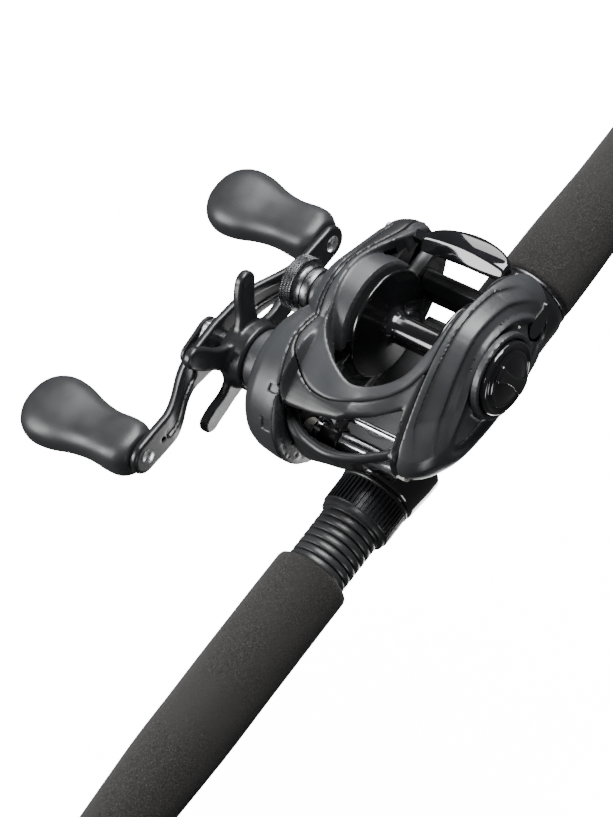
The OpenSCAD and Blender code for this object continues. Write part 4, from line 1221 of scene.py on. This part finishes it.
def tip_top():
    """Tip tube with its ring's holder, two brace wires and the tube's rolled mouth."""
    x, z = TIP - 1, TIP_RING[1]
    tube = loop_mesh([(x - 12, 1.15), (x - 12, 1.75), (x - 11.6, 1.9), (x - 10.9, 1.9),
            (x - 10.7, 1.8), (x - 2, 1.7), (x - 1.4, 1.3), (x - 1.4, 1.05)], "x", (0, 0), 40)
    parts = [tube, loop_mesh(bead(x - 0.95, x + 0.95, TIP_RING[0] + 0.92, TIP_RING[0] + 1.9, 0.25),
            "x", (0, z), 56)]
    for side in (-1, 1):
        path = smooth_curve([(x - 0.2, side * 3.5, z + 1.6), (x - 2.8, side * 3.1, z - 0.4),
                (x - 6.4, side * 1.9, 1.3), (x - 10.2, side * 1.2, 1.0)], 6)
        parts.append(sweep(path, 0.5, 10))
    return join_parts(parts)


def tip_ring():
    x = TIP - 1
    return loop_mesh(bead(x - 1.0, x + 1.0, TIP_RING[0], TIP_RING[0] + 0.88, 0.35), "x",
            (0, TIP_RING[1]), 56)


def winding_check():
    x = GRIP_END
    profile = [(x, 6.0), (x, 7.3)] + [(x + d, r) for d, r in (
        (0.3, 7.6), (1.0, 7.6), (1.3, 7.3), (2.2, 7.1), (2.5, 7.3), (3.0, 7.2), (3.8, 6.7),
        (4.0, 6.4), (4.0, 6.0))]
    return loop_mesh(profile, "x", (0, 0), 72)


def end_ring():
    x = SEAT_BACK
    return loop_mesh([(x - 1.5, 6.1), (x - 1.5, 12.2), (x - 1.3, 12.5), (x - 0.9, 12.7),
            (x - 0.3, 12.7), (x, 12.5), (x, 6.1)], "x", (0, 0), 96)


def add_guides():
    rings, frames, wraps = zip(*[guide(*size) for size in GUIDES])
    add_fixed([
        ("guide_ring_inserts", join_parts(rings), "guide_ceramic", "guide_rings"),
        ("guide_wire_frames", join_parts(frames), "guide_steel", "guide_frames"),
        ("guide_thread_wraps", join_parts(wraps), "thread_wrap", "guide_wraps"),
        ("tip_top_frame", tip_top(), "guide_steel", "tip_top"),
        ("tip_ring_insert", tip_ring(), "guide_ceramic", "tip_ring"),
        ("tapered_blank", blank(), "blank_carbon", "rod_blank"),
        ("winding_check_ring", winding_check(), "trim_ring", "winding_check"),
        ("seat_trim_ring", end_ring(), "trim_ring", "seat_end_ring")])


def add_rod():
    piece("lock_nut_ribbed", lock_nut(), "seat_gloss", "hood_nut", "lock_nut", look=RIBBED)
    piece("sliding_hood_shell", solid_from(hood, (20, -16, -16), (38.6, 16, 16), 0.45),
          "seat_gloss", "front_hood", "sliding_hood")
    body_part = solid_from(seat, (-46, -16, -27), (39, 16, 16))
    piece("reel_seat_body", body_part, "seat_gloss", "rod_and_frame", "reel_seat")
    piece("reel_seat_thread", threads(), "seat_gloss", "rod_and_frame", look=RIBBED)
    add_fixed([
        ("fore_grip_foam", fore_grip(), "foam_grip", "fore_grip"),
        ("rear_grip_foam", rear_grip(), "foam_grip", "rear_grip"),
        ("butt_cap_rubber", butt_cap(), "butt_rubber", "butt_cap")])


add_shells()
add_handle()
add_controls()
add_level_wind()
add_rod()
add_guides()


# ---- camera, light and floor ----


def camera_and_light():
    camera = bpy.data.objects.new("camera", bpy.data.cameras.new("camera"))
    bpy.context.collection.objects.link(camera)
    camera.data.sensor_fit = "VERTICAL"
    camera.data.sensor_height = 36
    camera.data.lens = 146.9
    camera.data.clip_end = 20
    right = Vector((-0.583, 0.776, -0.2406)).normalized()
    back = Vector((0.3439, 0.504, 0.7923)).normalized()
    up = back.cross(right).normalized()
    right = up.cross(back).normalized()
    turn = Matrix((right, up, back)).transposed().to_4x4()
    place = Vector((REEL_X + 369.54, 472.0, 801.51)) * MM
    camera.matrix_world = Matrix.Translation(place) @ turn
    bpy.context.scene.camera = camera
    target = Vector((REEL_X + 5, 0, 30)) * MM

    def soft_box(name, direction, distance, size, power, size_y=None):
        light = bpy.data.lights.new(name, "AREA")
        light.shape = "RECTANGLE"
        light.size = size
        light.size_y = size_y or size
        light.energy = power
        lamp = bpy.data.objects.new(name, light)
        bpy.context.collection.objects.link(lamp)
        away = Vector(direction).normalized()
        lamp.location = target + away * distance
        lamp.rotation_euler = away.to_track_quat("Z", "Y").to_euler()
        lamp.visible_camera = False

    soft_box("key_light", (-0.45, 0.10, 1.0), 0.8, 0.55, 19.5)
    soft_box("front_light", (1.0, -0.75, 0.60), 0.8, 0.40, 9)
    soft_box("low_light", (-0.03, -0.02, -1.0), 0.118, 0.05, 0.05)
    soft_box("side_light", (0.45, 1.0, -0.35), 0.8, 0.30, 2.4)
    soft_box("back_light", (-1.0, -0.35, 0.75), 1.0, 0.5, 6)

    world = bpy.data.worlds.new("studio")
    world.use_nodes = True
    world.node_tree.nodes["Background"].inputs["Color"].default_value = (0.93, 0.94, 0.96, 1)
    world.node_tree.nodes["Background"].inputs["Strength"].default_value = 0.10
    bpy.context.scene.world = world


def floor():
    bpy.ops.mesh.primitive_plane_add(size=8, location=(0.9, 0, -0.16))
    plane = bpy.context.object
    plane.name = "studio_floor"
    surface = Surface("floor_paper", (0.90, 0.90, 0.90), 0.9, specular=0.1)
    surface.shader.inputs["Emission Color"].default_value = (1, 1, 1, 1)
    surface.shader.inputs["Emission Strength"].default_value = 14.0
    surface.shade(surface.noise(3, 2), (0.88, 0.88, 0.88))
    plane.data.materials.append(surface.material)
    plane.visible_glossy = False
    plane.visible_diffuse = False


camera_and_light()
floor()
